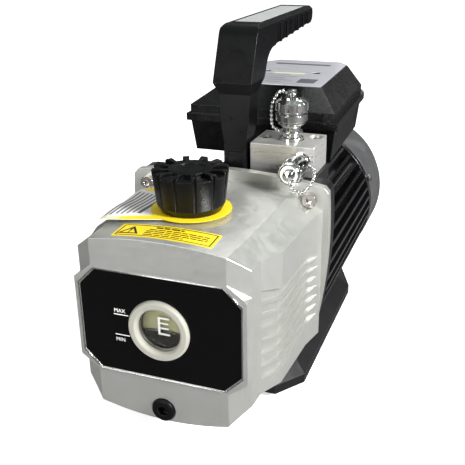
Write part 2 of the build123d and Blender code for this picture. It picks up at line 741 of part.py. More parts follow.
def fan_cowl():
    """Domed cowl over the fan with a slotted air intake."""
    wall = 1.5
    outer = 65.4
    inner = outer - wall
    end = COWL_END
    outside = [(outer, 118), (outer, end - 23), (62.5, end - 12), (55.0, end - 4), (44.0, end), (0, end)]
    inside = [
        (0, end - wall), (43.6, end - wall), (54.2, end - 5.3), (61.2, end - 12.7), (inner, end - 23.2),
        (inner, 118),
    ]
    body = turned_y(outside + inside)
    slot = block(16, 42, end - 8, end + 5, SHAFT_Z - 1.3, SHAFT_Z + 1.3)
    for one in around_shaft(slot, 20):
        body = body - one
    return body - cowl_screw_rods(2.0, 58, 70)


# ---- terminal box -------------------------------------------------------------------------------------
def box_plan(front, rear, tail, y0, y_break, y1):
    """Plan outline of the terminal box: straight front, sides drawn in towards a chamfered rear."""
    return mirrored([(front, y0), (rear, y_break), (tail, y1)])


def plan_face(points, z):
    """Face of a plan outline at a height."""
    return Plane.XY.offset(z) * make_face(Polyline(*points, close=True))


BOX_LOW = box_plan(53.0, 50.0, 38.0, 0.0, 104.0, 135.0)
BOX_RIM = box_plan(56.0, 52.5, 40.5, -2.0, 107.0, 135.0)
BOX_LIP = box_plan(58.5, 55.0, 43.0, -5.0, 109.0, 139.0)
LID_FOOT = box_plan(55.5, 52.5, 41.0, -3.4, 107.5, 137.0)
LID_TOP = box_plan(39.0, 37.0, 27.5, 24.0, 121.5, 134.8)
LID_Z = 166.5             # joint between box and lid
LIP_TOP = 172.0
LID_WALL_TOP = 178.5      # where the lid's upright wall turns into its sloping border
BOX_WALL = 2.5


def shrunk(points, wall):
    """Plan outline moved inward by a wall, measured towards the box's middle."""
    middle = 68.0
    return [(x - math.copysign(wall, x), y - math.copysign(wall, y - middle)) for x, y in points]


LID_SCREWS = ((21.0, 78.0), (-21.0, 78.0))
LID_SCREW_SEAT = BOX_TOP - 5.0
SWITCH_Y = 56.0
SWITCH_Z = 155.0
INLET_Z = 155.0


def terminal_box_body():
    """Lower half of the terminal box, open at the top."""
    body = loft([plan_face(BOX_LOW, BOX_FLOOR), plan_face(BOX_RIM, LID_Z)], ruled=True)
    floor_face = plan_face(shrunk(BOX_LOW, BOX_WALL), BOX_FLOOR + 2)
    cavity = loft([floor_face, plan_face(shrunk(BOX_RIM, BOX_WALL), LID_Z + 0.01)], ruled=True)
    body = body - cavity
    body = body + joined([rod_z(4.0, BOX_FLOOR + 1, LID_Z, x, y) for x, y in LID_SCREWS])
    for y in (88.0, 96.0):
        body = body - both_sides(block(51.0, 60.0, y, y + 2.5, BOX_FLOOR - 1, LID_Z - 3))
    body = body + block(-55.6, -49.5, SWITCH_Y - 14, SWITCH_Y + 14, BOX_FLOOR, LID_Z - 0.5)
    body = body - block(-60, -46, SWITCH_Y - 10.3, SWITCH_Y + 10.3, SWITCH_Z - 6.6, SWITCH_Z + 6.6)
    body = body - block(-13.6, 13.6, 126, 140, INLET_Z - 9.6, INLET_Z + 9.6)
    body = body - rod_z(CABLE_R, BOX_FLOOR - 1, BOX_FLOOR + 3, 0, CABLE_Y)
    return body - joined([rod_z(1.5, BOX_FLOOR + 6, LID_Z + 1, x, y) for x, y in LID_SCREWS])


def terminal_box_lid():
    """Lid with a sloping border and a proud lip."""
    body = slab_z(BOX_LIP, LID_Z, LIP_TOP)
    body = body + slab_z(LID_FOOT, LIP_TOP, LID_WALL_TOP)
    body = body + loft([plan_face(LID_FOOT, LID_WALL_TOP), plan_face(LID_TOP, BOX_TOP)], ruled=True)
    hollow = loft(
        [plan_face(shrunk(BOX_RIM, 4), LID_Z - 0.01), plan_face(shrunk(LID_TOP, 5), BOX_TOP - 3)],
        ruled=True,
    )
    body = body - hollow
    for x, y in LID_SCREWS:
        body = body + rod_z(5.0, LID_Z, BOX_TOP - 1, x, y)
        body = body - rod_z(1.6, LID_Z - 1, BOX_TOP, x, y) - rod_z(3.2, LID_SCREW_SEAT, BOX_TOP + 1, x, y)
    return body


def data_plate():
    """Thin plate on the flat of the lid, pierced for the lid screws."""
    plate = slab_z(shrunk(LID_TOP, 1.4), BOX_TOP, BOX_TOP + 0.4)
    return plate - joined([rod_z(3.4, BOX_TOP - 1, BOX_TOP + 1, x, y) for x, y in LID_SCREWS])


def switch_housing():
    """Bezel and case of the on-off switch, let into the box's left wall."""
    rim = block(-57.5, -55.6, SWITCH_Y - 12.5, SWITCH_Y + 12.5, SWITCH_Z - 8.5, SWITCH_Z + 8.5)
    case = block(-55.6, -40.0, SWITCH_Y - 10.2, SWITCH_Y + 10.2, SWITCH_Z - 6.5, SWITCH_Z + 6.5)
    body = rim + case
    body = body - block(-60, -48.0, SWITCH_Y - 9.0, SWITCH_Y + 9.0, SWITCH_Z - 4.9, SWITCH_Z + 4.9)
    return body - rod_z(1.05, SWITCH_Z - 5.9, SWITCH_Z + 5.9, -53.0, SWITCH_Y)


def switch_rocker():
    """Rocker that tips about its upright pin."""
    outline = [(-51.0, 7.4), (-57.8, 7.7), (-56.6, 0.0), (-59.6, -7.2), (-53.2, -7.6), (-49.6, 0.0)]
    shifted = [(x, SWITCH_Y + y) for x, y in outline]
    body = slab_z(shifted, SWITCH_Z - 4.6, SWITCH_Z + 4.6)
    return body + rod_z(1.0, SWITCH_Z - 5.6, SWITCH_Z + 5.6, -53.0, SWITCH_Y)


def power_inlet():
    """Appliance inlet with three pins, let into the box's rear wall."""
    flange = block(-17, 17, 135.0, 137.2, INLET_Z - 10.5, INLET_Z + 10.5)
    case = block(-13.4, 13.4, 116, 135.0, INLET_Z - 9.4, INLET_Z + 9.4)
    body = flange + case - block(-12.0, 12.0, 120, 140, INLET_Z - 7.8, INLET_Z + 7.8)
    for x, z in ((-7, -2), (0, 3), (7, -2)):
        body = body + block(x - 1, x + 1, 119, 133, INLET_Z + z - 2, INLET_Z + z + 2)
    return body


def run_capacitor():
    """Motor run capacitor lying in the terminal box."""
    case = rod_x(8.5, -34, 30, 24, BOX_FLOOR + 11)
    return case + rod_x(2.0, 30, 36, 21, BOX_FLOOR + 11) + rod_x(2.0, 30, 36, 27, BOX_FLOOR + 11)


# ---- intake manifold ----------------------------------------------------------------------------------
MANIFOLD = (10.0, 54.5, -55.0, -20.0)
MANIFOLD_SCREWS = ((15.5, -37.0), (48.8, -28.0))
VALVE_SEAT = 151.0


def intake_manifold():
    """Machined block that joins both flare ports to the pump."""
    x0, x1, y0, y1 = MANIFOLD
    body = block(x0, x1, y0, y1, SADDLE_TOP, BLOCK_TOP)
    body = chamfer(body.edges(), 0.5)
    px, py = LARGE_PORT
    sx, sz = SMALL_PORT
    body = body - rod_z(8.8, BLOCK_TOP - 9, BLOCK_TOP + 1, px, py)
    body = body - rod_z(7.0, VALVE_SEAT, BLOCK_TOP, px, py) - rod_z(4.0, SADDLE_TOP - 1, BLOCK_TOP, px, py)
    body = body - rod_y(5.9, y0 - 1, y0 + 9, sx, sz) - rod_y(2.6, y0, py + 1, sx, sz)
    body = body - rod_x(2.1, px, sx, py, sz)
    for x, y in MANIFOLD_SCREWS:
        body = body - rod_z(CLEAR_R, SADDLE_TOP - 1, BLOCK_TOP + 1, x, y)
        body = body - rod_z(HEAD_R, BLOCK_TOP - 6, BLOCK_TOP + 1, x, y)
    return body


def intake_valve_disc():
    """Non-return valve disc resting on its seat."""
    seat, rim, top = VALVE_SEAT, VALVE_SEAT + 1.6, VALVE_SEAT + 3.4
    return turned_z([(0, seat), (6.6, seat), (6.6, rim), (3.0, rim), (2.0, top), (0, top)], *LARGE_PORT)


LARGE_TIP = 194.0         # flare tip of the upright port
SMALL_TIP = -74.5         # flare tip of the forward port
LARGE_THREAD = 7.94       # 5/8 in - 18 thread, major radius
SMALL_THREAD = 5.55       # 7/16 in - 20 thread, major radius


def flare_fittings():
    """Both flare fittings, threads as plain cylinders."""
    top = BLOCK_TOP
    upright = turned_z(
        [
            (4.2, top - 9), (8.8, top - 9), (8.8, top), (8.2, top), (8.2, top + 1.5), (6.6, top + 2.5),
            (6.6, top + 9), (7.0, top + 10), (LARGE_THREAD, top + 10.5), (LARGE_THREAD, LARGE_TIP - 3),
            (5.2, LARGE_TIP), (4.2, LARGE_TIP),
        ],
        *LARGE_PORT,
    )
    sx, sz = SMALL_PORT
    face = MANIFOLD[2]
    forward = turned_y(
        [
            (2.6, face + 9), (2.6, SMALL_TIP), (3.4, SMALL_TIP), (SMALL_THREAD, SMALL_TIP + 2.4),
            (SMALL_THREAD, face - 7.5), (4.9, face - 7), (4.9, face - 2), (6.6, face - 1.4), (6.6, face),
            (5.9, face), (5.9, face + 9),
        ],
        sx,
        sz,
    )
    return Compound(children=[upright, forward])


def flare_cap(bore, outer, length, depth, lobes):
    """Flare cap standing on its open end: two fluted bands, a groove, a stepped end and a chain button."""
    waist = outer - 1.5
    body = turned_z(
        [
            (0, 0), (waist - 0.6, 0), (waist, 0.6), (waist, 0.10 * length), (outer, 0.14 * length),
            (outer, 0.36 * length), (waist - 0.6, 0.40 * length), (waist - 0.6, 0.46 * length),
            (outer, 0.50 * length), (outer, 0.78 * length), (0.76 * outer, 0.90 * length),
            (0.70 * outer, 0.92 * length), (0.66 * outer, length),
        ]
        + chain_button(length)
    )
    for i in range(lobes):
        body = body - Rot(0, 0, 360.0 / lobes * i) * rod_z(1.5, 0.44 * length, length, outer + 0.55, 0)
    return body - rod_z(bore, -1, depth)


def chain_button(end):
    """Profile of the waisted button that holds the chain's end ring."""
    return [(3.0, end), (2.0, end + 1.2), (2.0, end + 2.4), (3.1, end + 3.2), (3.1, end + 4.0), (0, end + 4.6)]


LARGE_CAP_FOOT = BLOCK_TOP + 11.0
LARGE_CAP_DEPTH = LARGE_TIP + 1.3 - LARGE_CAP_FOOT
SMALL_CAP_FOOT = MANIFOLD[2] - 8.0
SMALL_CAP_DEPTH = SMALL_CAP_FOOT - SMALL_TIP + 1.1
SMALL_CAP_END = SMALL_CAP_FOOT - 21.0
LARGE_CAP_R = 11.2
LARGE_CAP_LENGTH = 18.4
SMALL_CAP_R = 8.3
CAP_LOBES = 12


def large_flare_cap():
    """Cap of the upright port."""
    x, y = LARGE_PORT
    cap = flare_cap(LARGE_THREAD + 0.06, LARGE_CAP_R, LARGE_CAP_LENGTH, LARGE_CAP_DEPTH, CAP_LOBES)
    return Pos(x, y, LARGE_CAP_FOOT) * cap


def large_cap_seal():
    """Sealing disc in the upright port's cap."""
    x, y = LARGE_PORT
    return rod_z(LARGE_THREAD - 0.2, LARGE_TIP + 0.02, LARGE_TIP + 1.25, x, y)


def small_flare_cap():
    """Cap of the forward port: a slim collar over the casing flange and a fluted grip in front of it."""
    x, z = SMALL_PORT
    collar = 6.8
    grip = SMALL_CAP_R
    length = SMALL_CAP_FOOT - SMALL_CAP_END
    body = turned_z(
        [
            (0, 0), (collar - 0.6, 0), (collar, 0.6), (collar, 0.48 * length), (grip, 0.52 * length),
            (grip, 0.86 * length), (grip - 1.0, 0.90 * length), (grip - 1.6, 0.90 * length),
            (grip - 1.6, 0.96 * length), (grip - 2.4, length),
        ]
        + chain_button(length)
    )
    for i in range(CAP_LOBES):
        body = body - Rot(0, 0, 360.0 / CAP_LOBES * i) * rod_z(1.2, 0.56 * length, 0.92 * length, grip + 0.4, 0)
    body = body - rod_z(SMALL_THREAD + 0.06, -1, SMALL_CAP_DEPTH)
    return Pos(x, SMALL_CAP_FOOT, z) * Rot(90, 0, 0) * body


def small_cap_seal():
    """Sealing disc in the forward port's cap."""
    x, z = SMALL_PORT
    return rod_y(SMALL_THREAD - 0.15, SMALL_TIP - 1.05, SMALL_TIP - 0.02, x, z)


CHAIN_R = 1.0


def chain_run(points):
    """Chain as a plain round cord along a smooth curve."""
    path = Spline(*points)
    section = Plane(origin=path @ 0, z_dir=path % 0) * Circle(CHAIN_R)
    return sweep(section, path=path)


def cap_chains():
    """Chains of both caps, ringed to the fittings' necks; the free ends stay clear of the caps' travel."""
    px, py = LARGE_PORT
    sx, sz = SMALL_PORT
    collar_z = BLOCK_TOP + 5.0
    collar = turned_z([(6.7, collar_z), (8.0, collar_z), (8.0, collar_z + 1.2), (6.7, collar_z + 1.2)], px, py)
    beside = LARGE_CAP_R + CHAIN_R + 1.4
    long_run = chain_run(
        [
            (px - 9.2, py, collar_z + 0.6),
            (px - beside, py - 1, collar_z + 6),
            (px - beside - 1, py - 2, collar_z + 14),
            (px - beside, py - 1, collar_z + 24),
        ]
    )
    face = MANIFOLD[2]
    ring = turned_y([(5.0, face - 4.6), (6.4, face - 4.6), (6.4, face - 3.4), (5.0, face - 3.4)], sx, sz)
    below = SMALL_CAP_R + CHAIN_R + 1.2
    short_run = chain_run(
        [
            (sx + 7.6, face - 4.0, sz),
            (sx + below + 1, face - 10, sz - 2.0),
            (sx + below, face - 22, sz - 5.0),
            (sx + 5.0, SMALL_CAP_END, sz - below),
        ]
    )
    return Compound(children=[collar, long_run, ring, short_run])


# ---- handle -------------------------------------------------------------------------------------------
HANDLE_SCREWS = ((0.0, -44.0), (0.0, -28.0))
HANDLE_SCREW_SEAT = 152.0


def handle():
    """Carrying handle: post rising from the saddle and a grip reaching back."""
    side = Line((-57.0, SADDLE_TOP), (-57.0, 200.0))
    side += Line((-57.0, 200.0), (-61.5, 208.0))
    side += Line((-61.5, 208.0), (-49.5, 236.0))
    side += ThreePointArc((-49.5, 236.0), (-45.2, 241.8), (-38.0, GRIP_TOP))
    side += Line((-38.0, GRIP_TOP), (82.0, GRIP_TOP))
    side += ThreePointArc((82.0, GRIP_TOP), (89.5, 237.0), (82.5, 230.5))
    side += Line((82.5, 230.5), (-14.0, 225.5))
    side += ThreePointArc((-14.0, 225.5), (-24.0, 221.5), (-30.5, 213.0))
    side += Line((-30.5, 213.0), (-38.0, 201.0))
    side += Line((-38.0, 201.0), (-40.0, 165.0))
    side += Line((-40.0, 165.0), (-20.0, 151.0))
    side += Line((-20.0, 151.0), (-20.0, SADDLE_TOP))
    side += Line((-20.0, SADDLE_TOP), (-57.0, SADDLE_TOP))
    profile = Plane.YZ * make_face(side)
    body = extrude(profile, amount=13.4, both=True)
    widths = [(8.0, SADDLE_TOP - 1), (8.0, 168.0), (9.6, 178.0), (10.6, 200.0), (13.4, 208.0), (13.4, 241.0),
              (11.2, GRIP_TOP + 0.5)]
    body = body & slab_y(mirrored(widths), -70, 95)
    boss = block(-5.0, 7.6, -59.4, -56.0, 149.5, 162.0)
    body = body + chamfer(boss.faces().sort_by(Axis.Y)[0].edges(), 0.9)
    notch_pitch = 14.5
    for i in range(6):
        y = -8.0 + notch_pitch * i
        body = body - both_sides(block(12.2, 15, y, y + 11.5, 224, 239.5))
    body = body - block(-9.2, 9.2, -30.0, 76.0, GRIP_TOP - 0.6, GRIP_TOP + 1)
    for x, y in HANDLE_SCREWS:
        top = 157.0 if y < -40 else 151.0
        body = body - rod_z(CLEAR_R, SADDLE_TOP - 1, top + 5, x, y)
    return body - rod_z(HEAD_R, HANDLE_SCREW_SEAT, HANDLE_SCREW_SEAT + 18, *HANDLE_SCREWS[1])


def handle_inlay():
    """Strip let into the grip's top."""
    return block(-9.1, 9.1, -29.9, 75.9, GRIP_TOP - 0.6, GRIP_TOP)


# ---- base ---------------------------------------------------------------------------------------------
BASE_SCREW_X = 20.0
BASE_SCREW_YS = (-59.0, 60.0)
FOOT_SPOTS = ((44.0, -80.0), (45.0, 66.0))


def base_foot():
    """Octagonal base that cradles the motor."""
    low = mirrored([(44.0, -101.0), (59.0, -80.0), (59.0, 66.0), (38.0, 117.0)])
    high = mirrored([(34.0, -84.0), (44.0, -70.0), (44.0, 56.0), (30.0, 100.0)])
    body = slab_z(low, 4, 11)
    body = body + loft([plan_face(low, 11), plan_face(high, 26)], ruled=True)
    body = body - rod_y(TUBE_R, BRACKET_REAR, 130)
    body = body - rod_y(FIN_RADIUS + 1, MOTOR_REAR - 6, 130)
    body = body - motor_foot(30)
    body = body - block(-24, 24, -44, 54, 0, 10)
    for s in (-1, 1):
        for x, y in FOOT_SPOTS:
            body = body - rod_z(3.0, 0, 9, s * x, y)
        body = body - rod_z(2.2, 0, 30, s * BASE_SCREW_X, BASE_SCREW_YS[0])
        body = body - rod_z(4.2, 0, 16, s * BASE_SCREW_X, BASE_SCREW_YS[0])
        body = body - rod_z(2.2, 0, 30, s * BASE_SCREW_X, BASE_SCREW_YS[1])
        body = body - rod_z(4.2, 0, 9, s * BASE_SCREW_X, BASE_SCREW_YS[1])
    return body


def rubber_feet():
    """Four rubber feet with push-in stems."""
    feet = []
    for s in (-1, 1):
        for x, y in FOOT_SPOTS:
            foot = turned_z([(0, 0), (7.6, 0), (9.0, 4), (2.95, 4), (2.95, 8.5), (0, 8.5)], s * x, y)
            feet.append(foot)
    return Compound(children=feet)


# ---- fasteners ----------------------------------------------------------------------------------------
def socket_screw(radius, length, head_radius, head):
    """Socket-head screw standing on its tip, head upwards, origin under the head."""
    body = rod_z(radius, -length, 0) + rod_z(head_radius, 0, head)
    return body - Pos(0, 0, head) * extrude(RegularPolygon(2.3, 6), amount=2.5, both=True)


def socket_screws():
    """Socket-head screws of the casing flange, the manifold and the handle."""
    screws = []
    for x, z in CASING_SCREWS:
        for s in (-1, 1):
            screw = Rot(90, 0, 0) * socket_screw(SHANK_R, 15.0, HEAD_R, 5.0)
            screws.append(Pos(s * x, CASING_REAR - FLANGE, z) * screw)
    for x, y in MANIFOLD_SCREWS:
        screws.append(Pos(x, y, BLOCK_TOP - 6) * socket_screw(SHANK_R, 21.0, HEAD_R - 0.2, 5.0))
    x, y = HANDLE_SCREWS[1]
    screws.append(Pos(x, y, HANDLE_SCREW_SEAT) * socket_screw(SHANK_R, 11.0, HEAD_R - 0.2, 5.0))
    x, y = HANDLE_SCREWS[0]
    screws.append(rod_z(SHANK_R, SADDLE_TOP - 6, 160.0, x, y))
    return Compound(children=screws)


def pan_screw(radius, length, head_radius, head):
    """Pan-head screw, origin under the head, head upwards."""
    body = rod_z(radius, -length, 0) + turned_z(
        [(0, 0), (head_radius, 0), (head_radius, head * 0.5), (head_radius * 0.6, head), (0, head)]
    )
    slot = 0.5
    span = head_radius * 0.6
    floor = head * 0.4
    body = body - block(-span, span, -slot, slot, floor, head + 1)
    return body - block(-slot, slot, -span, span, floor, head + 1)


def pan_head_screws():
    """Pan-head screws of the lid, the fan cowl and the base."""
    screws = []
    for x, y in LID_SCREWS:
        screws.append(Pos(x, y, LID_SCREW_SEAT) * pan_screw(1.45, 34.0, 2.9, 2.0))
    for angle in COWL_ANGLES:
        screw = Pos(65.5, COWL_SCREW_Y, SHAFT_Z) * Rot(0, 90, 0) * pan_screw(1.9, 4.5, 3.4, 2.2)
        screws.append(screw.rotate(Axis((0, 0, SHAFT_Z), (0, 1, 0)), -angle))
    for s in (-1, 1):
        for y, seat, length in ((BASE_SCREW_YS[0], 16.0, 16.0), (BASE_SCREW_YS[1], 9.0, 12.0)):
            screw = Pos(s * BASE_SCREW_X, y, seat) * Rot(180, 0, 0) * pan_screw(1.95, length, 3.9, 2.4)
            screws.append(screw)
    return Compound(children=screws)


# ---- all pieces ---------------------------------------------------------------------------------------
def main():
    os.makedirs("parts", exist_ok=True)
    save("oil_casing", oil_casing())
    save("front_panel", front_panel())
    save("sight_glass_ring", sight_glass_ring())
    save("sight_glass", sight_glass())
    save("drain_plug", drain_plug())
    save("drain_plug_seal", drain_plug_seal())
    save("oil_fill_cap", oil_fill_cap())
    save("fill_cap_seal", fill_cap_seal())
    save("fill_tag", fill_tag())
    save("casing_gasket", casing_gasket())
    save("pump_bracket", pump_bracket())
    save("shaft_seal", shaft_seal())
    save("stage_one_stator", stator(STAGE_ONE))
    save("stage_two_stator", stator(STAGE_TWO))
    save("centre_plate", cover_plate(CENTRE_PLATE))
    save("end_plate", cover_plate(END_PLATE))
    save("rotors", rotors())
    save("stage_one_vane_right", vane(STAGE_ONE, 1))
    save("stage_one_vane_left", vane(STAGE_ONE, -1))
    save("stage_two_vane_right", vane(STAGE_TWO, 1))
    save("stage_two_vane_left", vane(STAGE_TWO, -1))
    save("vane_springs", vane_springs())
    save("pump_shaft", pump_shaft())
    save("exhaust_reeds", exhaust_reeds())
    save("oil_baffle", oil_baffle())
    save("long_bolts", long_bolts())
    save("coupling_hubs", coupling_hubs())
    save("coupling_spider", coupling_spider())
    save("motor_housing", motor_housing())
    save("stator_core", stator_core())
    save("windings", windings())
    save("motor_rotor", motor_rotor())
    save("motor_shaft", motor_shaft())
    save("bearing_outer_rings", bearing_ring(BEARING_BALL_CIRCLE + 2, BEARING_OUTER_R))
    save("bearing_inner_rings", bearing_ring(MOTOR_SHAFT_R, BEARING_BALL_CIRCLE - 2))
    save("bearing_balls", bearing_balls())
    save("rear_end_shield", rear_end_shield())
    save("cooling_fan", cooling_fan())
    save("fan_cowl", fan_cowl())
    save("terminal_box_body", terminal_box_body())
    save("terminal_box_lid", terminal_box_lid())
    save("data_plate", data_plate())
    save("switch_housing", switch_housing())
    save("switch_rocker", switch_rocker())
    save("power_inlet", power_inlet())
    save("run_capacitor", run_capacitor())
    save("intake_manifold", intake_manifold())
    save("intake_valve_disc", intake_valve_disc())
    save("flare_fittings", flare_fittings())
    save("large_flare_cap", large_flare_cap())
    save("large_cap_seal", large_cap_seal())
    save("small_flare_cap", small_flare_cap())
    save("small_cap_seal", small_cap_seal())
    save("cap_chains", cap_chains())
    save("handle", handle())
    save("handle_inlay", handle_inlay())
    save("base_foot", base_foot())
    save("rubber_feet", rubber_feet())
    save("socket_screws", socket_screws())
    save("pan_head_screws", pan_head_screws())


main()
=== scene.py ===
import math
import random

import bmesh
import bpy
from mathutils import Matrix, Vector
from mathutils.bvhtree import BVHTree


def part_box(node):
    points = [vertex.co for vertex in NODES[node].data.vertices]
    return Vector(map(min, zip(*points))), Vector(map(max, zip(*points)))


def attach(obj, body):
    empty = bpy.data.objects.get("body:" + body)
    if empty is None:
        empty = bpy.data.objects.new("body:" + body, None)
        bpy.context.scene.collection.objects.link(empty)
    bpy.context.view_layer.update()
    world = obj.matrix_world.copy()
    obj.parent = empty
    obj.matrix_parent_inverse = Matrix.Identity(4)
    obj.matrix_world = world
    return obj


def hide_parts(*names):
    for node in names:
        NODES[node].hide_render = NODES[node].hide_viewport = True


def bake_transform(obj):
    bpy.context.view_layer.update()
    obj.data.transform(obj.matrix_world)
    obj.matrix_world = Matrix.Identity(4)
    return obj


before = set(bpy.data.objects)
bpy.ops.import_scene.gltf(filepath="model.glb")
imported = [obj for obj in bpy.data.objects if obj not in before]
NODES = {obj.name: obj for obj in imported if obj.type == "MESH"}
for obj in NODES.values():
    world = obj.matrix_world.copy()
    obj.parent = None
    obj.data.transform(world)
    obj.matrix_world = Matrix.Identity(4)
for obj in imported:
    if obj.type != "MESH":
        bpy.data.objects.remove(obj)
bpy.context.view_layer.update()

MM = 0.001
random.seed(7)


# ---- places, read from the frame ----------------------------------------------------------------------
def middle(node):
    """Centre of a CAD node's box."""
    low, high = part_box(node)
    return (Vector(low) + Vector(high)) / 2


def low_corner(node):
    return Vector(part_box(node)[0])


def high_corner(node):
    return Vector(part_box(node)[1])


GLASS = middle("sight_glass")
FILL = middle("fill_cap_seal")
CASING_LOW = low_corner("oil_casing")


# ---- node materials -----------------------------------------------------------------------------------
def add_node(tree, kind, values=None, links=None, **attributes):
    """New node in a tree, with input values and input links by name."""
    node = tree.nodes.new(kind)
    for key, value in attributes.items():
        setattr(node, key, value)
    for key, value in (values or {}).items():
        node.inputs[key].default_value = value
    for key, source in (links or {}).items():
        tree.links.new(source, node.inputs[key])
    return node


class Shader:
    """A principled material built node by node."""

    def __init__(self, name, **settings):
        self.material = bpy.data.materials.new(name)
        self.material.use_nodes = True
        self.tree = self.material.node_tree
        self.surface = self.tree.nodes["Principled BSDF"]
        coordinates = self.tree.nodes.new("ShaderNodeTexCoord")
        self.place = coordinates.outputs["Object"]
        for key, value in settings.items():
            self.surface.inputs[key.replace("_", " ")].default_value = value

    def add(self, kind, values=None, links=None, **attributes):
        """New node in this material's tree."""
        return add_node(self.tree, kind, values, links, **attributes)

    def to(self, source, name):
        """Links a socket into the principled node."""
        self.tree.links.new(source, self.surface.inputs[name])

    def stretched(self, scale):
        """Object coordinates scaled along each axis."""
        mapping = self.add("ShaderNodeMapping", {"Scale": scale}, {"Vector": self.place})
        return mapping.outputs["Vector"]

    def noise(self, scale, detail=4.0, place=None):
        node = self.add(
            "ShaderNodeTexNoise",
            {"Scale": scale, "Detail": detail, "Roughness": 0.6},
            {"Vector": place or self.place},
        )
        return node.outputs["Fac"]

    def span(self, source, low, high, out_low, out_high):
        """Maps a value from one range to another."""
        node = self.add(
            "ShaderNodeMapRange",
            {"From Min": low, "From Max": high, "To Min": out_low, "To Max": out_high},
            {"Value": source},
        )
        return node.outputs["Result"]

    def varied(self, source, low, high):
        """Spreads the middle of a noise value over a range."""
        return self.span(source, 0.3, 0.7, low, high)

    def waves(self, scale, distortion, direction):
        """Bands across a direction, bent by the distortion."""
        node = self.add(
            "ShaderNodeTexWave",
            {"Scale": scale, "Distortion": distortion},
            {"Vector": self.place},
            bands_direction=direction,
        )
        return node.outputs["Fac"]

    def blend(self, factor, first, second):
        """Mixes two colours, each a tuple or a socket, by a factor socket."""
        node = self.add("ShaderNodeMix", links={"Factor": factor}, data_type="RGBA")
        for index, colour in ((6, first), (7, second)):
            if isinstance(colour, tuple):
                node.inputs[index].default_value = (*colour, 1.0)
            else:
                self.tree.links.new(colour, node.inputs[index])
        return node.outputs[2]

    def math(self, operation, first, second):
        node = self.add("ShaderNodeMath", operation=operation)
        for index, value in ((0, first), (1, second)):
            if isinstance(value, float):
                node.inputs[index].default_value = value
            else:
                self.tree.links.new(value, node.inputs[index])
        return node.outputs[0]

    def edges(self, radius):
        """1 on convex or concave edges narrower than the radius, 0 on open faces."""
        rounded = self.add("ShaderNodeBevel", {"Radius": radius}, samples=4)
        geometry = self.add("ShaderNodeNewGeometry")
        dot = self.add(
            "ShaderNodeVectorMath",
            links={0: rounded.outputs["Normal"], 1: geometry.outputs["Normal"]},
            operation="DOT_PRODUCT",
        )
        return self.span(dot.outputs["Value"], 0.985, 0.80, 0.0, 1.0)

    def edge_wear_and_highlight(self, base, radius, share, colour):
        """Base colour with part of another colour along the edges: edge wear and a painted edge highlight.
        """
        return self.blend(self.math("MULTIPLY", self.edges(radius), share), base, colour)

    def relief(self, height, distance, strength=1.0, edge=0.0):
        """Bump from a height socket, on top of an optional rounded edge."""
        node = self.add(
            "ShaderNodeBump", {"Distance": distance, "Strength": strength}, {"Height": height}
        )
        if edge:
            rounded = self.add("ShaderNodeBevel", {"Radius": edge}, samples=4)
            self.tree.links.new(rounded.outputs["Normal"], node.inputs["Normal"])
        self.to(node.outputs["Normal"], "Normal")


def cast_metal(name, light, dark, metallic=0.75, rough=(0.30, 0.46)):
    """Blasted die-cast metal: fine grain, faint mottling and brighter edges, partly wear and partly painted
    highlight.
    """
    s = Shader(name, Metallic=metallic)
    base = s.blend(s.noise(60.0), dark, light)
    # edges lightened towards near-white: partly wear, partly painted highlight
    s.to(s.edge_wear_and_highlight(base, 0.0009, 0.45, (0.80, 0.80, 0.78)), "Base Color")
    grain = s.noise(2600.0, 2.0)
    s.to(s.varied(s.noise(240.0), *rough), "Roughness")
    s.relief(grain, 0.00005, 0.45, 0.0006)
    return s.material


def moulded_plastic(name, light, dark, rough, grain_scale=1800.0, edge=0.0005, gloss=0.5):
    """Injection-moulded plastic: spark-eroded grain and slightly polished edges, their lighter colour a
    painted highlight.
    """
    s = Shader(name, Specular_IOR_Level=gloss)
    base = s.blend(s.noise(45.0), dark, light)
    # edge colour about three times lighter than the body: painted highlight along the edges
    edge_highlight = tuple(min(1.0, 3.0 * c + 0.012) for c in light)
    s.to(s.edge_wear_and_highlight(base, 0.0007, 0.5, edge_highlight), "Base Color")
    s.to(s.varied(s.noise(130.0), rough - 0.07, rough + 0.07), "Roughness")
    grain = s.add("ShaderNodeTexVoronoi", {"Scale": grain_scale}, {"Vector": s.place})
    s.relief(grain.outputs["Distance"], 0.00005, 0.5, edge)
    return s.material


def enamel(name, colour, rough, orange_peel=420.0, coat=0.6):
    """Sprayed enamel with a faint orange-peel surface."""
    s = Shader(name, Coat_Weight=coat, Coat_Roughness=0.08)
    lighter = tuple(min(1.0, c * 1.7 + 0.004) for c in colour)
    base = s.blend(s.noise(30.0), colour, lighter)
    # edges lightened to dark grey: partly wear, partly painted highlight
    s.to(s.edge_wear_and_highlight(base, 0.0008, 0.35, (0.10, 0.10, 0.10)), "Base Color")
    s.to(s.varied(s.noise(90.0), rough - 0.05, rough + 0.08), "Roughness")
    s.relief(s.noise(orange_peel, 2.0), 0.00022, 0.35, 0.0006)
    return s.material


def brushed_metal(name, light, dark, along, rough=0.28, metallic=1.0):
    """Machined metal with fine tool lines; along is the direction the lines run."""
    s = Shader(name, Metallic=metallic)
    scale = tuple(25.0 if value else 900.0 for value in along)
    lines = s.noise(1.0, 3.0, s.stretched(scale))
    base = s.blend(lines, dark, light)
    # edges lightened to near-white: partly wear, partly painted highlight
    s.to(s.edge_wear_and_highlight(base, 0.0006, 0.4, (0.88, 0.88, 0.86)), "Base Color")
    s.to(s.varied(lines, rough - 0.08, rough + 0.10), "Roughness")
    s.relief(lines, 0.00003, 0.6, 0.0005)
    return s.material


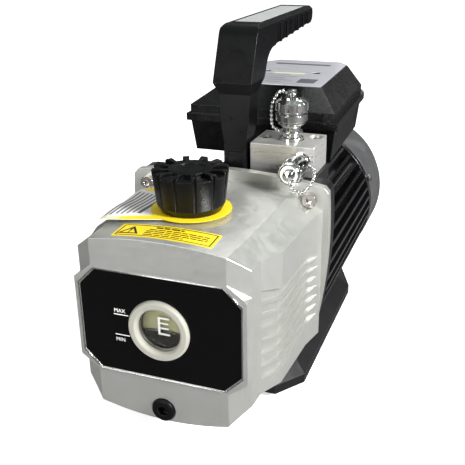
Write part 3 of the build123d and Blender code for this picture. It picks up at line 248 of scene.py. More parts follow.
def printed_plate(name, light, dark):
    """Laminated aluminium plate: brushed sheen under a clear film."""
    s = Shader(name, Metallic=0.15, Coat_Weight=0.8, Coat_Roughness=0.1)
    lines = s.noise(1.0, 3.0, s.stretched((30.0, 700.0, 700.0)))
    s.to(s.blend(lines, dark, light), "Base Color")
    s.to(s.varied(lines, 0.25, 0.4), "Roughness")
    s.relief(lines, 0.00002, 0.4)
    return s.material


def plated(name, light, rough=0.10):
    """Bright plating with fine handling haze."""
    s = Shader(name, Metallic=1.0)
    haze = s.noise(160.0)
    s.to(s.blend(haze, tuple(0.82 * c for c in light), light), "Base Color")
    s.to(s.span(haze, 0.35, 0.75, rough * 0.6, rough * 2.0), "Roughness")
    s.relief(s.noise(700.0, 2.0), 0.00002, 0.4, 0.0004)
    return s.material


def rubber(name, colour=(0.018, 0.018, 0.018)):
    """Dull rubber with a dusty bloom."""
    s = Shader(name)
    s.to(s.blend(s.noise(150.0), colour, tuple(2.2 * c for c in colour)), "Base Color")
    s.to(s.varied(s.noise(300.0), 0.65, 0.9), "Roughness")
    s.relief(s.noise(1500.0, 2.0), 0.00006, 0.5, 0.0005)
    return s.material


def paper(name, colour):
    """Coated card with faint fibres."""
    s = Shader(name)
    fibres = s.noise(1.0, 5.0, s.stretched((500.0, 1400.0, 500.0)))
    s.to(s.blend(fibres, tuple(0.93 * c for c in colour), colour), "Base Color")
    s.to(s.varied(fibres, 0.38, 0.55), "Roughness")
    s.relief(fibres, 0.00003, 0.4)
    return s.material


def laminated(name):
    """Edges of stacked electrical steel sheets lying across Y."""
    s = Shader(name, Metallic=0.9)
    sheets = s.waves(320.0, 0.3, "Y")
    s.to(s.blend(sheets, (0.16, 0.16, 0.17), (0.40, 0.40, 0.42)), "Base Color")
    s.to(s.varied(s.noise(200.0), 0.35, 0.55), "Roughness")
    s.relief(sheets, 0.0001, 0.6)
    return s.material


def wound_copper(name):
    """Enamelled magnet wire."""
    s = Shader(name, Metallic=0.85, Coat_Weight=0.5)
    turns = s.waves(260.0, 3.0, "DIAGONAL")
    s.to(s.blend(turns, (0.30, 0.10, 0.04), (0.78, 0.36, 0.17)), "Base Color")
    s.to(s.varied(s.noise(200.0), 0.25, 0.4), "Roughness")
    s.relief(turns, 0.0003, 0.8)
    return s.material


def clear_glass(name):
    """Window glass with a thin film of oil on it; light passes straight through to what is behind."""
    s = Shader(name, Transmission_Weight=1.0, IOR=1.45)
    film = s.noise(90.0)
    s.to(s.varied(film, 0.01, 0.06), "Roughness")
    s.to(s.blend(film, (0.97, 0.97, 0.95), (0.93, 0.94, 0.90)), "Base Color")
    rays = s.add("ShaderNodeLightPath")
    through = s.math("MAXIMUM", rays.outputs["Is Shadow Ray"], rays.outputs["Is Diffuse Ray"])
    clear = s.add("ShaderNodeBsdfTransparent")
    sides = {0: through, 1: s.surface.outputs[0], 2: clear.outputs[0]}
    mix = s.add("ShaderNodeMixShader", links=sides)
    s.tree.links.new(mix.outputs[0], s.tree.nodes["Material Output"].inputs["Surface"])
    return s.material


def oil(name, shallow, deep):
    """Pump oil behind the window, darker towards the bottom."""
    s = Shader(name, Coat_Weight=0.8)
    split = s.add("ShaderNodeSeparateXYZ", links={"Vector": s.place})
    depth = 0.013
    height = s.span(split.outputs["Z"], GLASS.z - depth, GLASS.z + depth, 0.0, 1.0)
    ripple = s.math("ADD", height, s.varied(s.noise(220.0), -0.15, 0.15))
    s.to(s.blend(ripple, deep, shallow), "Base Color")
    s.to(s.varied(s.noise(400.0), 0.12, 0.3), "Roughness")
    return s.material


ALONG_X = (1, 0, 0)
ALONG_Y = (0, 1, 0)


def metals():
    """Cast, machined and plated materials by short name."""
    return {
        "casing": cast_metal(
            "cast_casing", (0.66, 0.665, 0.63), (0.56, 0.565, 0.53), metallic=0.78, rough=(0.28, 0.42)
        ),
        "ring": cast_metal(
            "satin_ring", (0.34, 0.335, 0.29), (0.30, 0.295, 0.25), metallic=0.1, rough=(0.6, 0.75)
        ),
        "iron": brushed_metal("ground_iron", (0.36, 0.36, 0.37), (0.24, 0.24, 0.25), ALONG_X, 0.38),
        "steel": brushed_metal("ground_steel", (0.66, 0.66, 0.66), (0.50, 0.50, 0.51), ALONG_Y, 0.25),
        "spring": brushed_metal("spring_steel", (0.42, 0.44, 0.50), (0.30, 0.32, 0.38), ALONG_X, 0.25),
        "manifold": brushed_metal(
            "manifold_nickel", (0.70, 0.69, 0.66), (0.62, 0.61, 0.58), ALONG_X, 0.32, metallic=0.75
        ),
        "laminations": laminated("laminations"),
        "copper": wound_copper("magnet_wire"),
        "plate": printed_plate("plate_metal", (0.72, 0.72, 0.78), (0.62, 0.62, 0.68)),
        "chrome": plated("bright_chrome", (0.83, 0.83, 0.82)),
        "zinc": plated("zinc_plate", (0.78, 0.73, 0.70), rough=0.18),
    }


def coatings():
    """Sprayed enamels by short name."""
    return {
        "casting": enamel("powder_black", (0.003, 0.003, 0.0035), 0.36, orange_peel=900.0, coat=0.1),
        "motor": enamel("motor_enamel", (0.002, 0.002, 0.0025), 0.18),
        "cowl": enamel("cowl_enamel", (0.045, 0.046, 0.047), 0.36, orange_peel=500.0, coat=0.3),
    }


def plastics():
    """Moulded plastics, rubbers, glass and oil by short name."""
    return {
        "panel": moulded_plastic(
            "gloss_panel", (0.0012, 0.0012, 0.0014), (0.0008, 0.0008, 0.001), 0.12,
            grain_scale=600.0, edge=0.0, gloss=0.3,
        ),
        "black": moulded_plastic(
            "black_plastic", (0.0025, 0.0025, 0.003), (0.0015, 0.0015, 0.002), 0.32, gloss=0.28
        ),
        "lid": moulded_plastic(
            "lid_plastic", (0.004, 0.004, 0.004), (0.002, 0.002, 0.002), 0.24,
            grain_scale=2600.0, edge=0.0006, gloss=0.28,
        ),
        "composite": moulded_plastic(
            "vane_composite", (0.07, 0.05, 0.035), (0.045, 0.032, 0.022), 0.5, grain_scale=900.0
        ),
        "fan": moulded_plastic("fan_plastic", (0.035, 0.035, 0.036), (0.025, 0.025, 0.026), 0.45),
        "capacitor": moulded_plastic("capacitor_shell", (0.62, 0.62, 0.58), (0.55, 0.55, 0.50), 0.35),
        "inlay": moulded_plastic(
            "inlay_grey", (0.50, 0.51, 0.51), (0.43, 0.44, 0.44), 0.38, grain_scale=2200.0
        ),
        "rubber": rubber("black_rubber"),
        "gasket": rubber("fibre_gasket", (0.10, 0.10, 0.10)),
        "glass": clear_glass("window_glass"),
        "oil": oil("pump_oil", (0.030, 0.024, 0.012), (0.003, 0.003, 0.002)),
    }


def papers():
    """Card, prints and the matt backing of the window by short name."""
    return {
        "card": paper("tag_card", (0.72, 0.72, 0.70)),
        "yellow": paper("label_yellow", (0.88, 0.66, 0.01)),
        "pale_yellow": paper("pale_yellow", (0.70, 0.68, 0.38)),
        "ink": paper("label_ink", (0.006, 0.006, 0.006)),
        "grey_ink": paper("grey_ink", (0.10, 0.10, 0.11)),
        "mark": paper("mark_white", (0.86, 0.86, 0.84)),
        "backing": paper("window_olive", (0.34, 0.33, 0.18)),
    }


MATERIALS = {**metals(), **coatings(), **plastics(), **papers()}

NODE_LOOKS = {
    "casing": ["oil_casing"],
    "panel": ["front_panel"],
    "ring": ["sight_glass_ring"],
    "glass": ["sight_glass"],
    "black": [
        "drain_plug", "oil_fill_cap", "terminal_box_body", "switch_housing", "switch_rocker",
        "power_inlet", "handle",
    ],
    "lid": ["terminal_box_lid"],
    "rubber": [
        "drain_plug_seal", "fill_cap_seal", "shaft_seal", "coupling_spider", "intake_valve_disc",
        "large_cap_seal", "small_cap_seal", "rubber_feet",
    ],
    "gasket": ["casing_gasket"],
    "casting": ["pump_bracket", "base_foot"],
    "motor": ["motor_housing", "rear_end_shield"],
    "cowl": ["fan_cowl"],
    "iron": ["stage_one_stator", "stage_two_stator", "centre_plate", "end_plate", "coupling_hubs"],
    "steel": [
        "rotors", "pump_shaft", "motor_shaft", "bearing_outer_rings", "bearing_inner_rings",
        "bearing_balls", "oil_baffle",
    ],
    "spring": ["vane_springs", "exhaust_reeds"],
    "composite": [
        "stage_one_vane_right", "stage_one_vane_left", "stage_two_vane_right", "stage_two_vane_left",
    ],
    "laminations": ["stator_core", "motor_rotor"],
    "copper": ["windings"],
    "fan": ["cooling_fan"],
    "plate": ["data_plate"],
    "capacitor": ["run_capacitor"],
    "manifold": ["intake_manifold"],
    "chrome": ["flare_fittings", "large_flare_cap", "small_flare_cap"],
    "zinc": ["socket_screws", "pan_head_screws", "long_bolts"],
    "inlay": ["handle_inlay"],
}


def paint_nodes():
    """Gives every carried-over CAD node its material."""
    for look, names in NODE_LOOKS.items():
        for name in names:
            mesh = NODES[name].data
            mesh.materials.clear()
            mesh.materials.append(MATERIALS[look])


# bevel width in millimetres and the smallest angle, in degrees, that counts as an edge
EDGES = {
    "oil_casing": (0.7, 11),
    "oil_fill_cap": (0.45, 20),
    "handle": (1.5, 14),
    "terminal_box_lid": (0.9, 14),
    "terminal_box_body": (0.7, 14),
    "base_foot": (1.0, 14),
    "pump_bracket": (0.8, 20),
    "fan_cowl": (1.2, 25),
    "motor_housing": (0.35, 25),
    "rear_end_shield": (0.5, 25),
    "front_panel": (0.25, 25),
    "sight_glass_ring": (0.3, 25),
    "drain_plug": (0.3, 25),
    "socket_screws": (0.25, 25),
    "pan_head_screws": (0.2, 25),
    "intake_manifold": (0.3, 25),
    "large_flare_cap": (0.2, 28),
    "small_flare_cap": (0.2, 28),
}


SMALLEST_BEVEL_ANGLE = 24
WELD_GAP = 0.005 * MM


def sharp_marker(angle):
    """Node group that marks edges sharper than an angle, so that flat faces stay flat."""
    group = bpy.data.node_groups.new(f"sharp_{angle}", "GeometryNodeTree")
    group.interface.new_socket("Geometry", in_out="INPUT", socket_type="NodeSocketGeometry")
    group.interface.new_socket("Geometry", in_out="OUTPUT", socket_type="NodeSocketGeometry")
    start = group.nodes.new("NodeGroupInput")
    end = group.nodes.new("NodeGroupOutput")
    edge_angle = group.nodes.new("GeometryNodeInputMeshEdgeAngle")
    compare = group.nodes.new("ShaderNodeMath")
    compare.operation = "GREATER_THAN"
    compare.inputs[1].default_value = math.radians(angle)
    smooth_faces = group.nodes.new("GeometryNodeSetShadeSmooth")
    sharp_edges = group.nodes.new("GeometryNodeSetShadeSmooth")
    sharp_edges.domain = "EDGE"
    sharp_edges.inputs["Shade Smooth"].default_value = False
    group.links.new(start.outputs[0], smooth_faces.inputs["Geometry"])
    group.links.new(edge_angle.outputs["Unsigned Angle"], compare.inputs[0])
    group.links.new(smooth_faces.outputs["Geometry"], sharp_edges.inputs["Geometry"])
    group.links.new(compare.outputs[0], sharp_edges.inputs["Selection"])
    group.links.new(sharp_edges.outputs["Geometry"], end.inputs[0])
    return group


def soften(name, width, angle):
    """Rounds a CAD node's sharp edges with modifiers, leaving its own mesh alone."""
    piece = NODES[name]
    weld = piece.modifiers.new("weld", "WELD")
    weld.merge_threshold = WELD_GAP
    marker = piece.modifiers.new("sharp", "NODES")
    marker.node_group = bpy.data.node_groups.get(f"sharp_{angle}") or sharp_marker(angle)
    bevel = piece.modifiers.new("bevel", "BEVEL")
    bevel.width = width * MM
    bevel.segments = 3
    bevel.limit_method = "ANGLE"
    bevel.angle_limit = math.radians(max(angle, SMALLEST_BEVEL_ANGLE))
    bevel.use_clamp_overlap = True
    bevel.harden_normals = True


# ---- mesh helpers -------------------------------------------------------------------------------------
def linked(name, data, body=None):
    """Object in the scene, riding on a body if one is given."""
    piece = bpy.data.objects.new(name, data)
    bpy.context.scene.collection.objects.link(piece)
    if body:
        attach(piece, body)
    return piece


def piece_from(name, vertices, faces, material, body="pump", smooth=True):
    """Mesh object with one material."""
    mesh = bpy.data.meshes.new(name)
    mesh.from_pydata([tuple(v) for v in vertices], [], faces)
    mesh.validate()
    mesh.update()
    mesh.materials.append(material)
    for polygon in mesh.polygons:
        polygon.use_smooth = smooth
    return linked(name, mesh, body)


def finish_bmesh(name, work, material, smooth=True, body=None):
    """Turns a bmesh into an object with one material."""
    mesh = bpy.data.meshes.new(name)
    work.to_mesh(mesh)
    work.free()
    mesh.materials.append(material)
    for polygon in mesh.polygons:
        polygon.use_smooth = smooth
    return linked(name, mesh, body)


def thicken(piece, thickness):
    """Gives a sheet a thickness in millimetres."""
    solid = piece.modifiers.new("thickness", "SOLIDIFY")
    solid.thickness = thickness * MM
    solid.offset = 1.0


def surface_of(node):
    """Ray-casting tree of a CAD node."""
    mesh = NODES[node].data
    corners = [v.co for v in mesh.vertices]
    return BVHTree.FromPolygons(corners, [tuple(p.vertices) for p in mesh.polygons])


def cut_across(work, axis, low, high, cell):
    """Cuts a flat bmesh into strips of about one cell along an axis."""
    count = int((high - low) / cell)
    normal = Vector((0, 0, 0))
    normal[axis] = 1
    for i in range(1, count + 1):
        at = Vector((0, 0, 0))
        at[axis] = low + i * (high - low) / (count + 1)
        geometry = work.verts[:] + work.edges[:] + work.faces[:]
        bmesh.ops.bisect_plane(work, geom=geometry, plane_co=at, plane_no=normal, dist=1e-4)


def draped(name, outline, place, thickness, material, cell=2.0, body="pump"):
    """Thin sheet cut to an outline; place(x, y) gives each point, all in millimetres."""
    work = bmesh.new()
    work.faces.new([work.verts.new((x, y, 0)) for x, y in outline])
    for axis in (0, 1):
        values = [corner[axis] for corner in outline]
        cut_across(work, axis, min(values), max(values), cell)
    for vertex in work.verts:
        vertex.co = Vector(place(vertex.co.x, vertex.co.y)) * MM
    work.normal_update()
    if sum(face.normal.z for face in work.faces) < 0:
        bmesh.ops.reverse_faces(work, faces=work.faces[:])
    piece = finish_bmesh(name, work, material, False, body)
    thicken(piece, thickness)
    return piece


def bar_outline(x0, x1, y0, y1):
    """Corners of a rectangle in order."""
    return [(x0, y0), (x1, y0), (x1, y1), (x0, y1)]


# ---- chains -------------------------------------------------------------------------------------------
CURVE_STEPS = 40
BEAD_R = 1.3 * MM
PIN_R = 0.34 * MM
NECK_WIRE = 0.6 * MM
BUTTON_RING_R = 3.0 * MM
BUTTON_WIRE = 0.55 * MM
BUTTON_DEPTH = 2.8  # from a cap's end to the ring round its button, in millimetres
LARGE_NECK_RISE = 5.6  # from the block's top to the large neck ring
SMALL_NECK_REACH = 4.0  # from the block's face to the small neck ring


def curve_point(p0, p1, p2, p3, t):
    """Point on the Catmull-Rom span from p1 to p2."""
    return 0.5 * (
        2 * p1
        + (p2 - p0) * t
        + (2 * p0 - 5 * p1 + 4 * p2 - p3) * t * t
        + (3 * p1 - p0 - 3 * p2 + p3) * t * t * t
    )


def smooth_path(points, count):
    """Evenly spaced points on a smooth curve through the given ones."""
    padded = [points[0] * 2 - points[1]] + points + [points[-1] * 2 - points[-2]]
    dense = []
    for i in range(1, len(padded) - 2):
        for step in range(CURVE_STEPS):
            dense.append(curve_point(*padded[i - 1 : i + 3], step / CURVE_STEPS))
    dense.append(points[-1])
    lengths = [0.0]
    for a, b in zip(dense, dense[1:]):
        lengths.append(lengths[-1] + (b - a).length)
    spots = []
    j = 0
    for i in range(count):
        goal = lengths[-1] * i / (count - 1)
        while j < len(lengths) - 2 and lengths[j + 1] < goal:
            j += 1
        share = (goal - lengths[j]) / max(lengths[j + 1] - lengths[j], 1e-9)
        spots.append(dense[j].lerp(dense[j + 1], min(1.0, share)))
    return spots


def ball_chain(name, points, count):
    """Ball chain: round beads with a short pin between neighbours."""
    spots = smooth_path([Vector(p) * MM for p in points], count)
    work = bmesh.new()
    for spot in spots:
        place = Matrix.Translation(spot)
        bmesh.ops.create_uvsphere(work, u_segments=14, v_segments=10, radius=BEAD_R, matrix=place)
    for a, b in zip(spots, spots[1:]):
        turn = (b - a).to_track_quat("Z", "Y").to_matrix().to_4x4()
        bmesh.ops.create_cone(
            work, cap_ends=True, segments=8, radius1=PIN_R, radius2=PIN_R, depth=(b - a).length,
            matrix=Matrix.Translation((a + b) / 2) @ turn,
        )
    return finish_bmesh(name, work, MATERIALS["chrome"])


def wire_ring(name, centre, axis, radius, wire, body):
    """Closed chrome wire ring about an axis."""
    turn = Vector(axis).to_track_quat("Z", "Y").to_matrix()
    around, section = 40, 10
    vertices, faces = [], []
    for i in range(around):
        a = 2 * math.pi * i / around
        following = (i + 1) % around
        for k in range(section):
            b = 2 * math.pi * k / section
            beside = (k + 1) % section
            reach = radius + wire * math.cos(b)
            spot = Vector((reach * math.cos(a), reach * math.sin(a), wire * math.sin(b)))
            vertices.append(centre + turn @ spot)
            faces.append(
                (
                    i * section + k,
                    following * section + k,
                    following * section + beside,
                    i * section + beside,
                )
            )
    return piece_from(name, vertices, faces, MATERIALS["chrome"], body)


def cap_chains():
    """Both retaining chains with their rings, in place of the plain CAD cords."""
    neck_ring = large_cap_chain()
    small_cap_chain()
    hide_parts("cap_chains")


def large_cap_chain():
    """Chain up the side of the upright cap, from its fitting's neck to its button; gives the neck ring."""
    cap = middle("large_flare_cap") / MM
    neck_z = high_corner("intake_manifold").z / MM + LARGE_NECK_RISE
    button_z = high_corner("large_flare_cap").z / MM - BUTTON_DEPTH
    neck = Vector((cap.x, cap.y, neck_z)) * MM
    button = Vector((cap.x, cap.y, button_z)) * MM
    neck_ring = wire_ring("large_neck_ring", neck, (0, 0, 1), 7.4 * MM, NECK_WIRE, "pump")
    wire_ring("large_button_ring", button, (0, 0, 1), BUTTON_RING_R, BUTTON_WIRE, "large_seal")
    path = [
        (cap.x - 8.2, cap.y - 1.5, neck_z),
        (cap.x - 12.0, cap.y - 5, neck_z + 4),
        (cap.x - 12.8, cap.y - 5, neck_z + 12),
        (cap.x - 12.4, cap.y - 3, neck_z + 20),
        (cap.x - 8.0, cap.y - 1, button_z + 1.2),
        (cap.x - 3.8, cap.y, button_z),
    ]
    chain = ball_chain("large_cap_chain", path, 14)
    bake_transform(chain)
    return neck_ring


def small_cap_chain():
    """Chain hanging in a loop below the forward cap."""
    cap = middle("small_flare_cap") / MM
    face = low_corner("intake_manifold").y / MM
    tip = low_corner("small_flare_cap").y / MM
    neck = Vector((cap.x, face - SMALL_NECK_REACH, cap.z)) * MM
    button = Vector((cap.x, tip + BUTTON_DEPTH, cap.z)) * MM
    wire_ring("small_neck_ring", neck, (0, 1, 0), 5.8 * MM, NECK_WIRE, "pump")
    wire_ring("small_button_ring", button, (0, 1, 0), BUTTON_RING_R, BUTTON_WIRE, "small_seal")
    path = [
        (cap.x + 6.6, face - 4.2, cap.z - 0.5),
        (cap.x + 11.5, face - 9, cap.z - 2.5),
        (cap.x + 12.5, face - 19, cap.z - 6.5),
        (cap.x + 9.0, face - 27, cap.z - 11.0),
        (cap.x + 4.5, tip + 1.5, cap.z - 9.0),
        (cap.x + 1.5, tip + 2.4, cap.z - 3.9),
    ]
    chain = ball_chain("small_cap_chain", path, 15)
    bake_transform(chain)


# ---- labels: sizes and places in millimetres ----------------------------------------------------------
STICKER_HALF = (30.0, 8.8)
STICKER_MARGIN = (1.4, 1.2)
STICKER_BORDER = 0.8
STICKER_TURN = math.radians(1.5)
STICKER_LIFT = 0.06
INK_LIFT = 0.19
INK_THICKNESS = 0.05
TRIANGLE_X = -21.5
TRIANGLE_MIDDLE_Z = -1.6
# middle height, start, end and thickness of each row of bars
STICKER_ROWS = (
    (5.0, -8.0, 9.0, 1.7),
    (2.0, -11.0, 25.0, 1.05),
    (-0.4, -12.0, 25.0, 1.05),
    (-2.8, -12.0, 25.5, 1.05),
    (-5.2, -12.0, 12.0, 1.05),
)
WORD_GAP = 0.7

TAG_RIDGE = -41.0  # beyond this X the card droops
COLLAR_R = 24.3
PRINT_LIFT = 0.32
# outlines of the tag's sheets, X and Y
TAG_CARD = (
    (-8.0, -154.5), (-49.0, -166.5), (-50.2, -151.0), (-47.0, -111.0), (-39.5, -107.5), (-10.0, -110.0),
)
TAG_EDGE = ((-8.0, -154.5), (-34.0, -162.1), (-34.0, -157.0), (-8.0, -147.0))
TAG_FADED_EDGE = ((-34.0, -162.1), (-49.0, -166.5), (-49.6, -163.0), (-34.0, -157.0))
TAG_CORNER = ((-39.5, -107.5), (-10.0, -110.0), (-10.0, -116.0), (-41.5, -112.5))
TAG_BANDS = 7
BAND_PITCH = 3.0


def sticker_surface():
    """Function of a lift, giving a function from the sticker's plan to the casing's top."""
    tree = surface_of("oil_casing")
    centre = Vector((0.8, CASING_LOW.y / MM + 13.8))

    def height(x, y):
        hit = tree.ray_cast(Vector((x, y, 400)) * MM, Vector((0, 0, -1)))[0]
        return hit.z / MM if hit else 140.0

    def lifted(lift):
        def place(u, v):
            x = centre.x + u * math.cos(STICKER_TURN) - v * math.sin(STICKER_TURN)
            y = centre.y + u * math.sin(STICKER_TURN) + v * math.cos(STICKER_TURN)
            return x, y, height(x, y) + lift

        return place

    return lifted


def hazard_sticker():
    """Yellow sticker on the casing's top: a frame, a triangle and plain bars in place of text."""
    lifted = sticker_surface()
    half_x, half_y = STICKER_HALF
    sheet = bar_outline(-half_x, half_x, -half_y, half_y)
    draped("hazard_sticker", sheet, lifted(STICKER_LIFT), 0.12, MATERIALS["yellow"])
    ink_place = lifted(INK_LIFT)
    sticker_frame(ink_place)
    sticker_triangle(ink_place)
    sticker_bars(ink_place)


def inked(name, outline, place, cell=2.0):
    """Thin layer of black ink."""
    draped(name, outline, place, INK_THICKNESS, MATERIALS["ink"], cell)


def sticker_frame(place):
    """Four bars round the sticker, inside its edge."""
    x1 = STICKER_HALF[0] - STICKER_MARGIN[0]
    y1 = STICKER_HALF[1] - STICKER_MARGIN[1]
    rims = (
        (-x1, x1, -y1, -y1 + STICKER_BORDER),
        (-x1, x1, y1 - STICKER_BORDER, y1),
        (-x1, -x1 + STICKER_BORDER, -y1, y1),
        (x1 - STICKER_BORDER, x1, -y1, y1),
    )
    for i, rim in enumerate(rims):
        inked(f"sticker_rim_{i}", bar_outline(*rim), place)


def sticker_triangle(place):
    """Hollow triangle with a stroke and a dot in it."""
    x = TRIANGLE_X
    centre = Vector((x, TRIANGLE_MIDDLE_Z))
    outer = [Vector((x - 6.4, -5.2)), Vector((x + 6.4, -5.2)), Vector((x, 5.4))]
    inner = [centre + (p - centre) * 0.66 for p in outer]
    for i in range(3):
        j = (i + 1) % 3
        inked(f"sticker_triangle_{i}", [outer[i], outer[j], inner[j], inner[i]], place)
    inked("sticker_stroke", [(x - 0.45, -1.8), (x + 0.45, -1.8), (x + 0.8, 2.2), (x - 0.8, 2.2)], place)
    inked("sticker_dot", bar_outline(x - 0.5, x + 0.5, -3.6, -2.6), place)


def sticker_bars(place):
    """Rows of bars of random length in place of words."""
    for i, (y, start, end, tall) in enumerate(STICKER_ROWS):
        x = start
        k = 0
        while x < end:
            word = min(random.uniform(3.0, 6.5), end - x)
            inked(f"sticker_row_{i}_{k}", bar_outline(x, x + word, y - tall / 2, y + tall / 2), place, 3.0)
            x += word + WORD_GAP
            k += 1


def fill_tag():
    """Paper reminder tag: yellow collar round the fill neck and a printed card that droops over the edge."""
    z = low_corner("fill_tag").z / MM
    neck_x, neck_y = FILL.x / MM, FILL.y / MM

    def lifted(lift):
        def place(x, y):
            over = max(0.0, TAG_RIDGE - x)
            ripple = 0.35 * math.sin(0.21 * y) * min(1.0, max(0.0, -x - 20) / 20)
            return x, y, z + lift + ripple - 0.055 * over * over

        return place

    ring = []
    for i in range(72):
        a = 2 * math.pi * i / 72
        ring.append((neck_x + COLLAR_R * math.cos(a), neck_y + COLLAR_R * math.sin(a)))
    collar = draped("tag_collar", ring, lifted(0.36), 0.25, MATERIALS["yellow"], 3.0)
    draped("tag_card", TAG_CARD, lifted(0.0), 0.3, MATERIALS["card"])
    print_place = lifted(PRINT_LIFT)
    draped("tag_edge", TAG_EDGE, print_place, 0.06, MATERIALS["yellow"])
    draped("tag_faded_edge", TAG_FADED_EDGE, print_place, 0.06, MATERIALS["pale_yellow"])
    draped("tag_corner", TAG_CORNER, print_place, 0.06, MATERIALS["yellow"])
    for i in range(TAG_BANDS):
        x = -45.5 + BAND_PITCH * i
        front = -157.5 + 1.2 * i + random.uniform(0.0, 2.0)
        rear = -116.0 - random.uniform(0.0, 3.0)
        wide = 2.4 if i == TAG_BANDS - 1 else 1.1
        slant = BAND_PITCH
        strip = [(x, front), (x + wide, front), (x + slant + wide, rear), (x + slant, rear)]
        draped(f"tag_row_{i}", strip, print_place, 0.05, MATERIALS["grey_ink"], 4.0)
    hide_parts("fill_tag")


def plate_print():
    """Generic print on the lid's plate: a pale bar, rules and blocks, no lettering."""
    low, high = low_corner("data_plate") / MM, high_corner("data_plate") / MM

    def at(x, y):
        return x, y, high.z + 0.02

    def grey(name, outline):
        draped(name, outline, at, 0.04, MATERIALS["grey_ink"], 60.0)

    draped("plate_bar", bar_outline(-13.0, 13.0, 70.0, 74.0), at, 0.05, MATERIALS["pale_yellow"], 20.0)
    for i in range(5):
        y = low.y + 10 + 7.5 * i
        grey(f"plate_rule_{i}", bar_outline(low.x + 7, low.x + 40 + 8 * (i % 2), y, y + 1.0))
    grey("plate_block", bar_outline(high.x - 22, high.x - 8, low.y + 10, low.y + 26))
    grey("plate_head", bar_outline(-24, 24, high.y - 22, high.y - 16))


# ---- sight glass and front panel ----------------------------------------------------------------------
WINDOW_R = 13.3 * MM
WINDOW_DISH = 1.5 * MM
OIL_LEVEL = -3.5 * MM
# X and Z range of each gauge mark from the window's centre, in millimetres
GAUGE_MARKS = (
    (-3.0, -1.6, -5.5, 6.0),
    (-1.6, 4.4, 4.8, 6.0),
    (-1.6, 3.6, 1.6, 2.6),
    (-1.6, 3.6, -1.6, -0.6),
    (-1.6, 4.4, -5.5, -4.3),
)
TRIM_R = 0.55 * MM
TRIM_OUTSET = 0.7 * MM
TRIM_CUT = 10.5 * MM
LEVEL_X = (-28.6, -19.3)
LEVEL_HALF_THICKNESS = 0.28
WORD_X = -28.4
WORD_SIZE = 3.4 * MM


def disc_sector(name, centre, radius, y, low, high, material):
    """Part of a disc facing -Y between two heights, slightly dished."""
    vertices, faces = [], []
    rows, columns = 12, 24
    for i in range(rows + 1):
        h = low + (high - low) * i / rows
        half = math.sqrt(max(radius * radius - h * h, 0.0))
        for k in range(columns + 1):
            x = -half + 2 * half * k / columns
            dish = WINDOW_DISH * (1 - (x * x + h * h) / radius**2)
            vertices.append((centre.x + x, y + dish, centre.z + h))
    for i in range(rows):
        for k in range(columns):
            a = i * (columns + 1) + k
            faces.append((a, a + 1, a + columns + 2, a + columns + 1))
    thicken(piece_from(name, vertices, faces, material), 0.4)


def sight_glass_inside():
    """Oil level and backing behind the window, with raised gauge marks."""
    back = high_corner("sight_glass").y + 3.2 * MM
    oil_y = back - 0.6 * MM
    disc_sector("window_oil", GLASS, WINDOW_R, oil_y, -WINDOW_R, OIL_LEVEL, MATERIALS["oil"])
    disc_sector("window_back", GLASS, WINDOW_R, back, OIL_LEVEL, WINDOW_R, MATERIALS["backing"])
    work = bmesh.new()
    for x0, x1, z0, z1 in GAUGE_MARKS:
        size = Vector((x1 - x0, 0.5, z1 - z0)) * MM
        at = Vector((GLASS.x + (x0 + x1) / 2 * MM, back - 1.1 * MM, GLASS.z + (z0 + z1) / 2 * MM))
        shape = Matrix.Translation(at) @ Matrix.Diagonal((*size, 1.0))
        bmesh.ops.create_cube(work, size=1.0, matrix=shape)
    gauge = finish_bmesh("window_gauge", work, MATERIALS["mark"], False, "pump")
    bevel = gauge.modifiers.new("bevel", "BEVEL")
    bevel.width = 0.12 * MM


def panel_trim():
    """Polished bead that frames the front panel."""
    low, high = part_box("front_panel")
    y = CASING_LOW.y - 0.1 * MM
    x0, x1 = low[0] - TRIM_OUTSET, high[0] + TRIM_OUTSET
    z0, z1 = low[2] - TRIM_OUTSET, high[2] + TRIM_OUTSET
    cut = TRIM_CUT
    corners = [
        (x0 + cut, z0), (x1 - cut, z0), (x1, z0 + cut), (x1, z1 - cut),
        (x1 - cut, z1), (x0 + cut, z1), (x0, z1 - cut), (x0, z0 + cut),
    ]
    centre = Vector(((x0 + x1) / 2, 0, (z0 + z1) / 2))
    section = 12
    vertices, faces = [], []
    for x, z in corners:
        outward = (Vector((x, 0, z)) - centre).normalized()
        for k in range(section):
            a = 2 * math.pi * k / section
            reach = TRIM_R * (math.cos(a) * outward + math.sin(a) * Vector((0, 1, 0)))
            vertices.append(Vector((x, y, z)) + reach)
    for i in range(len(corners)):
        for k in range(section):
            j, m = (i + 1) % len(corners), (k + 1) % section
            faces.append((i * section + k, i * section + m, j * section + m, j * section + k))
    piece_from("panel_trim", vertices, faces, MATERIALS["chrome"])


def level_marks():
    """Upper and lower level lines printed on the front panel."""
    face = low_corner("front_panel").y - 0.02 * MM
    x0, x1 = LEVEL_X
    half = LEVEL_HALF_THICKNESS
    for name, z in (("level_high", 97.2), ("level_low", 83.9)):
        vertices = []
        for y in (face, face - 0.06 * MM):
            for x, dz in ((x0, -half), (x1, -half), (x1, half), (x0, half)):
                vertices.append((x * MM, y, (z + dz) * MM))
        faces = [(0, 1, 2, 3), (7, 6, 5, 4), (0, 4, 5, 1), (1, 5, 6, 2), (2, 6, 7, 3), (3, 7, 4, 0)]
        piece_from(name, vertices, faces, MATERIALS["mark"], "pump", False)


def level_words():
    """MAX and MIN beside the level lines."""
    face = low_corner("front_panel").y - 0.05 * MM
    for word, z in (("MAX", 98.6), ("MIN", 79.6)):
        name = "word_" + word.lower()
        curve = bpy.data.curves.new(name, "FONT")
        curve.body = word
        curve.size = WORD_SIZE
        curve.extrude = 0.03 * MM
        curve.materials.append(MATERIALS["mark"])
        piece = linked(name, curve)
        piece.location = (WORD_X * MM, face, z * MM)
        piece.rotation_euler = (math.radians(90), 0, 0)
        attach(piece, "pump")


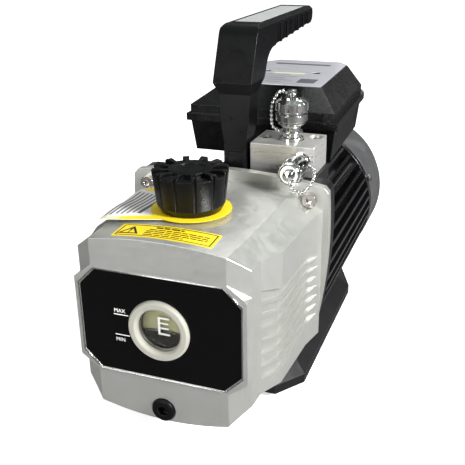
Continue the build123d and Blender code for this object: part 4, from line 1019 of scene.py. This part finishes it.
# ---- stage --------------------------------------------------------------------------------------------
FLOOR_REACH = 6.0
FLOOR_GLOW = 0.6  # extra brightness that only the camera sees
LIT_POINT = (0, -0.05, 0.1)
# name, place, size and power of each soft box
SOFT_BOXES = (
    ("key_right", (0.95, -0.35, 0.65), (0.25, 0.25), 27),
    ("front_left", (-0.35, -1.1, 0.35), (0.5, 0.5), 5),
    ("top_back", (0.1, 0.7, 1.1), (0.7, 0.25), 4),
)
LENS = 56.556
CAMERA_PLACE = (0.16785, -0.50520, 0.30190)
CAMERA_RIGHT = Vector((0.936557, 0.350263, -0.013274))
CAMERA_UP = Vector((-0.123718, 0.365764, 0.922448))


def backdrop():
    """Plain pale floor; reflections see it darker, as under a shaded table edge."""
    s = Shader("floor_paint", Roughness=0.8, Specular_IOR_Level=0.0, Emission_Color=(1, 1, 1, 1))
    pale = s.blend(s.noise(3.0), (0.93, 0.93, 0.93), (0.95, 0.95, 0.95))
    rays = s.add("ShaderNodeLightPath")
    s.to(s.blend(rays.outputs["Is Glossy Ray"], pale, (0.10, 0.10, 0.10)), "Base Color")
    s.to(s.math("MULTIPLY", rays.outputs["Is Camera Ray"], FLOOR_GLOW), "Emission Strength")
    r = FLOOR_REACH
    vertices = [(-r, -r, 0), (r, -r, 0), (r, r, 0), (-r, r, 0)]
    piece_from("floor", vertices, [(0, 1, 2, 3)], s.material, None, False)


def area_light(name, place, size, power):
    """Soft rectangular light aimed at the pump."""
    lamp = bpy.data.lights.new(name, "AREA")
    lamp.shape = "RECTANGLE"
    lamp.size, lamp.size_y = size
    lamp.energy = power
    holder = linked(name, lamp)
    holder.location = place
    aim = Vector(LIT_POINT) - Vector(place)
    holder.rotation_euler = aim.to_track_quat("-Z", "Y").to_euler()


def studio_world():
    """White surround for light; reflections see a dim room with a bright ceiling and bright strips."""
    world = bpy.data.worlds.new("studio")
    bpy.context.scene.world = world
    world.use_nodes = True
    tree = world.node_tree
    place = add_node(tree, "ShaderNodeTexCoord").outputs["Generated"]
    split = add_node(tree, "ShaderNodeSeparateXYZ", links={0: place})
    room = add_node(tree, "ShaderNodeValToRGB", links={"Fac": split.outputs["Z"]})
    low_end, high_end = room.color_ramp.elements
    low_end.position = 0.25
    low_end.color = (0.03, 0.03, 0.03, 1)
    high_end.position = 0.85
    high_end.color = (0.55, 0.64, 0.60, 1)
    strips = add_node(tree, "ShaderNodeTexWave", {"Scale": 0.9}, {"Vector": place})
    edge = add_node(
        tree, "ShaderNodeMapRange", {"From Min": 0.86, "From Max": 0.94}, {"Value": strips.outputs["Fac"]}
    )
    lit = add_node(
        tree, "ShaderNodeMix", links={"Factor": edge.outputs["Result"]}, data_type="RGBA"
    )
    tree.links.new(room.outputs["Color"], lit.inputs[6])
    lit.inputs[7].default_value = (1.2, 1.2, 1.2, 1)
    rays = add_node(tree, "ShaderNodeLightPath")
    seen = add_node(
        tree, "ShaderNodeMix", links={"Factor": rays.outputs["Is Glossy Ray"]}, data_type="RGBA"
    )
    seen.inputs[6].default_value = (1, 1, 1, 1)
    tree.links.new(lit.outputs[2], seen.inputs[7])
    background = tree.nodes["Background"]
    background.inputs["Strength"].default_value = 0.5
    tree.links.new(seen.outputs[2], background.inputs["Color"])


def lighting():
    """Soft boxes: strong at the right, weak in front and above the back."""
    studio_world()
    for box in SOFT_BOXES:
        area_light(*box)
    view = bpy.context.scene.view_settings
    view.view_transform = "Standard"
    view.look = "None"
    view.exposure = 0.0


def camera():
    """Camera above and to the right of the sight glass."""
    data = bpy.data.cameras.new("camera")
    data.sensor_width = 36.0
    data.lens = LENS
    data.clip_start = 0.01
    holder = linked("camera", data)
    columns = (CAMERA_RIGHT, CAMERA_UP, CAMERA_RIGHT.cross(CAMERA_UP), Vector(CAMERA_PLACE))
    rows = [[column[row] for column in columns] for row in range(3)]
    holder.matrix_world = Matrix((*rows, (0, 0, 0, 1)))
    bpy.context.scene.camera = holder


def build():
    """The whole scene, piece by piece."""
    paint_nodes()
    for name, (width, angle) in EDGES.items():
        soften(name, width, angle)
    cap_chains()
    hazard_sticker()
    fill_tag()
    plate_print()
    sight_glass_inside()
    panel_trim()
    level_marks()
    level_words()
    backdrop()
    lighting()
    camera()


build()
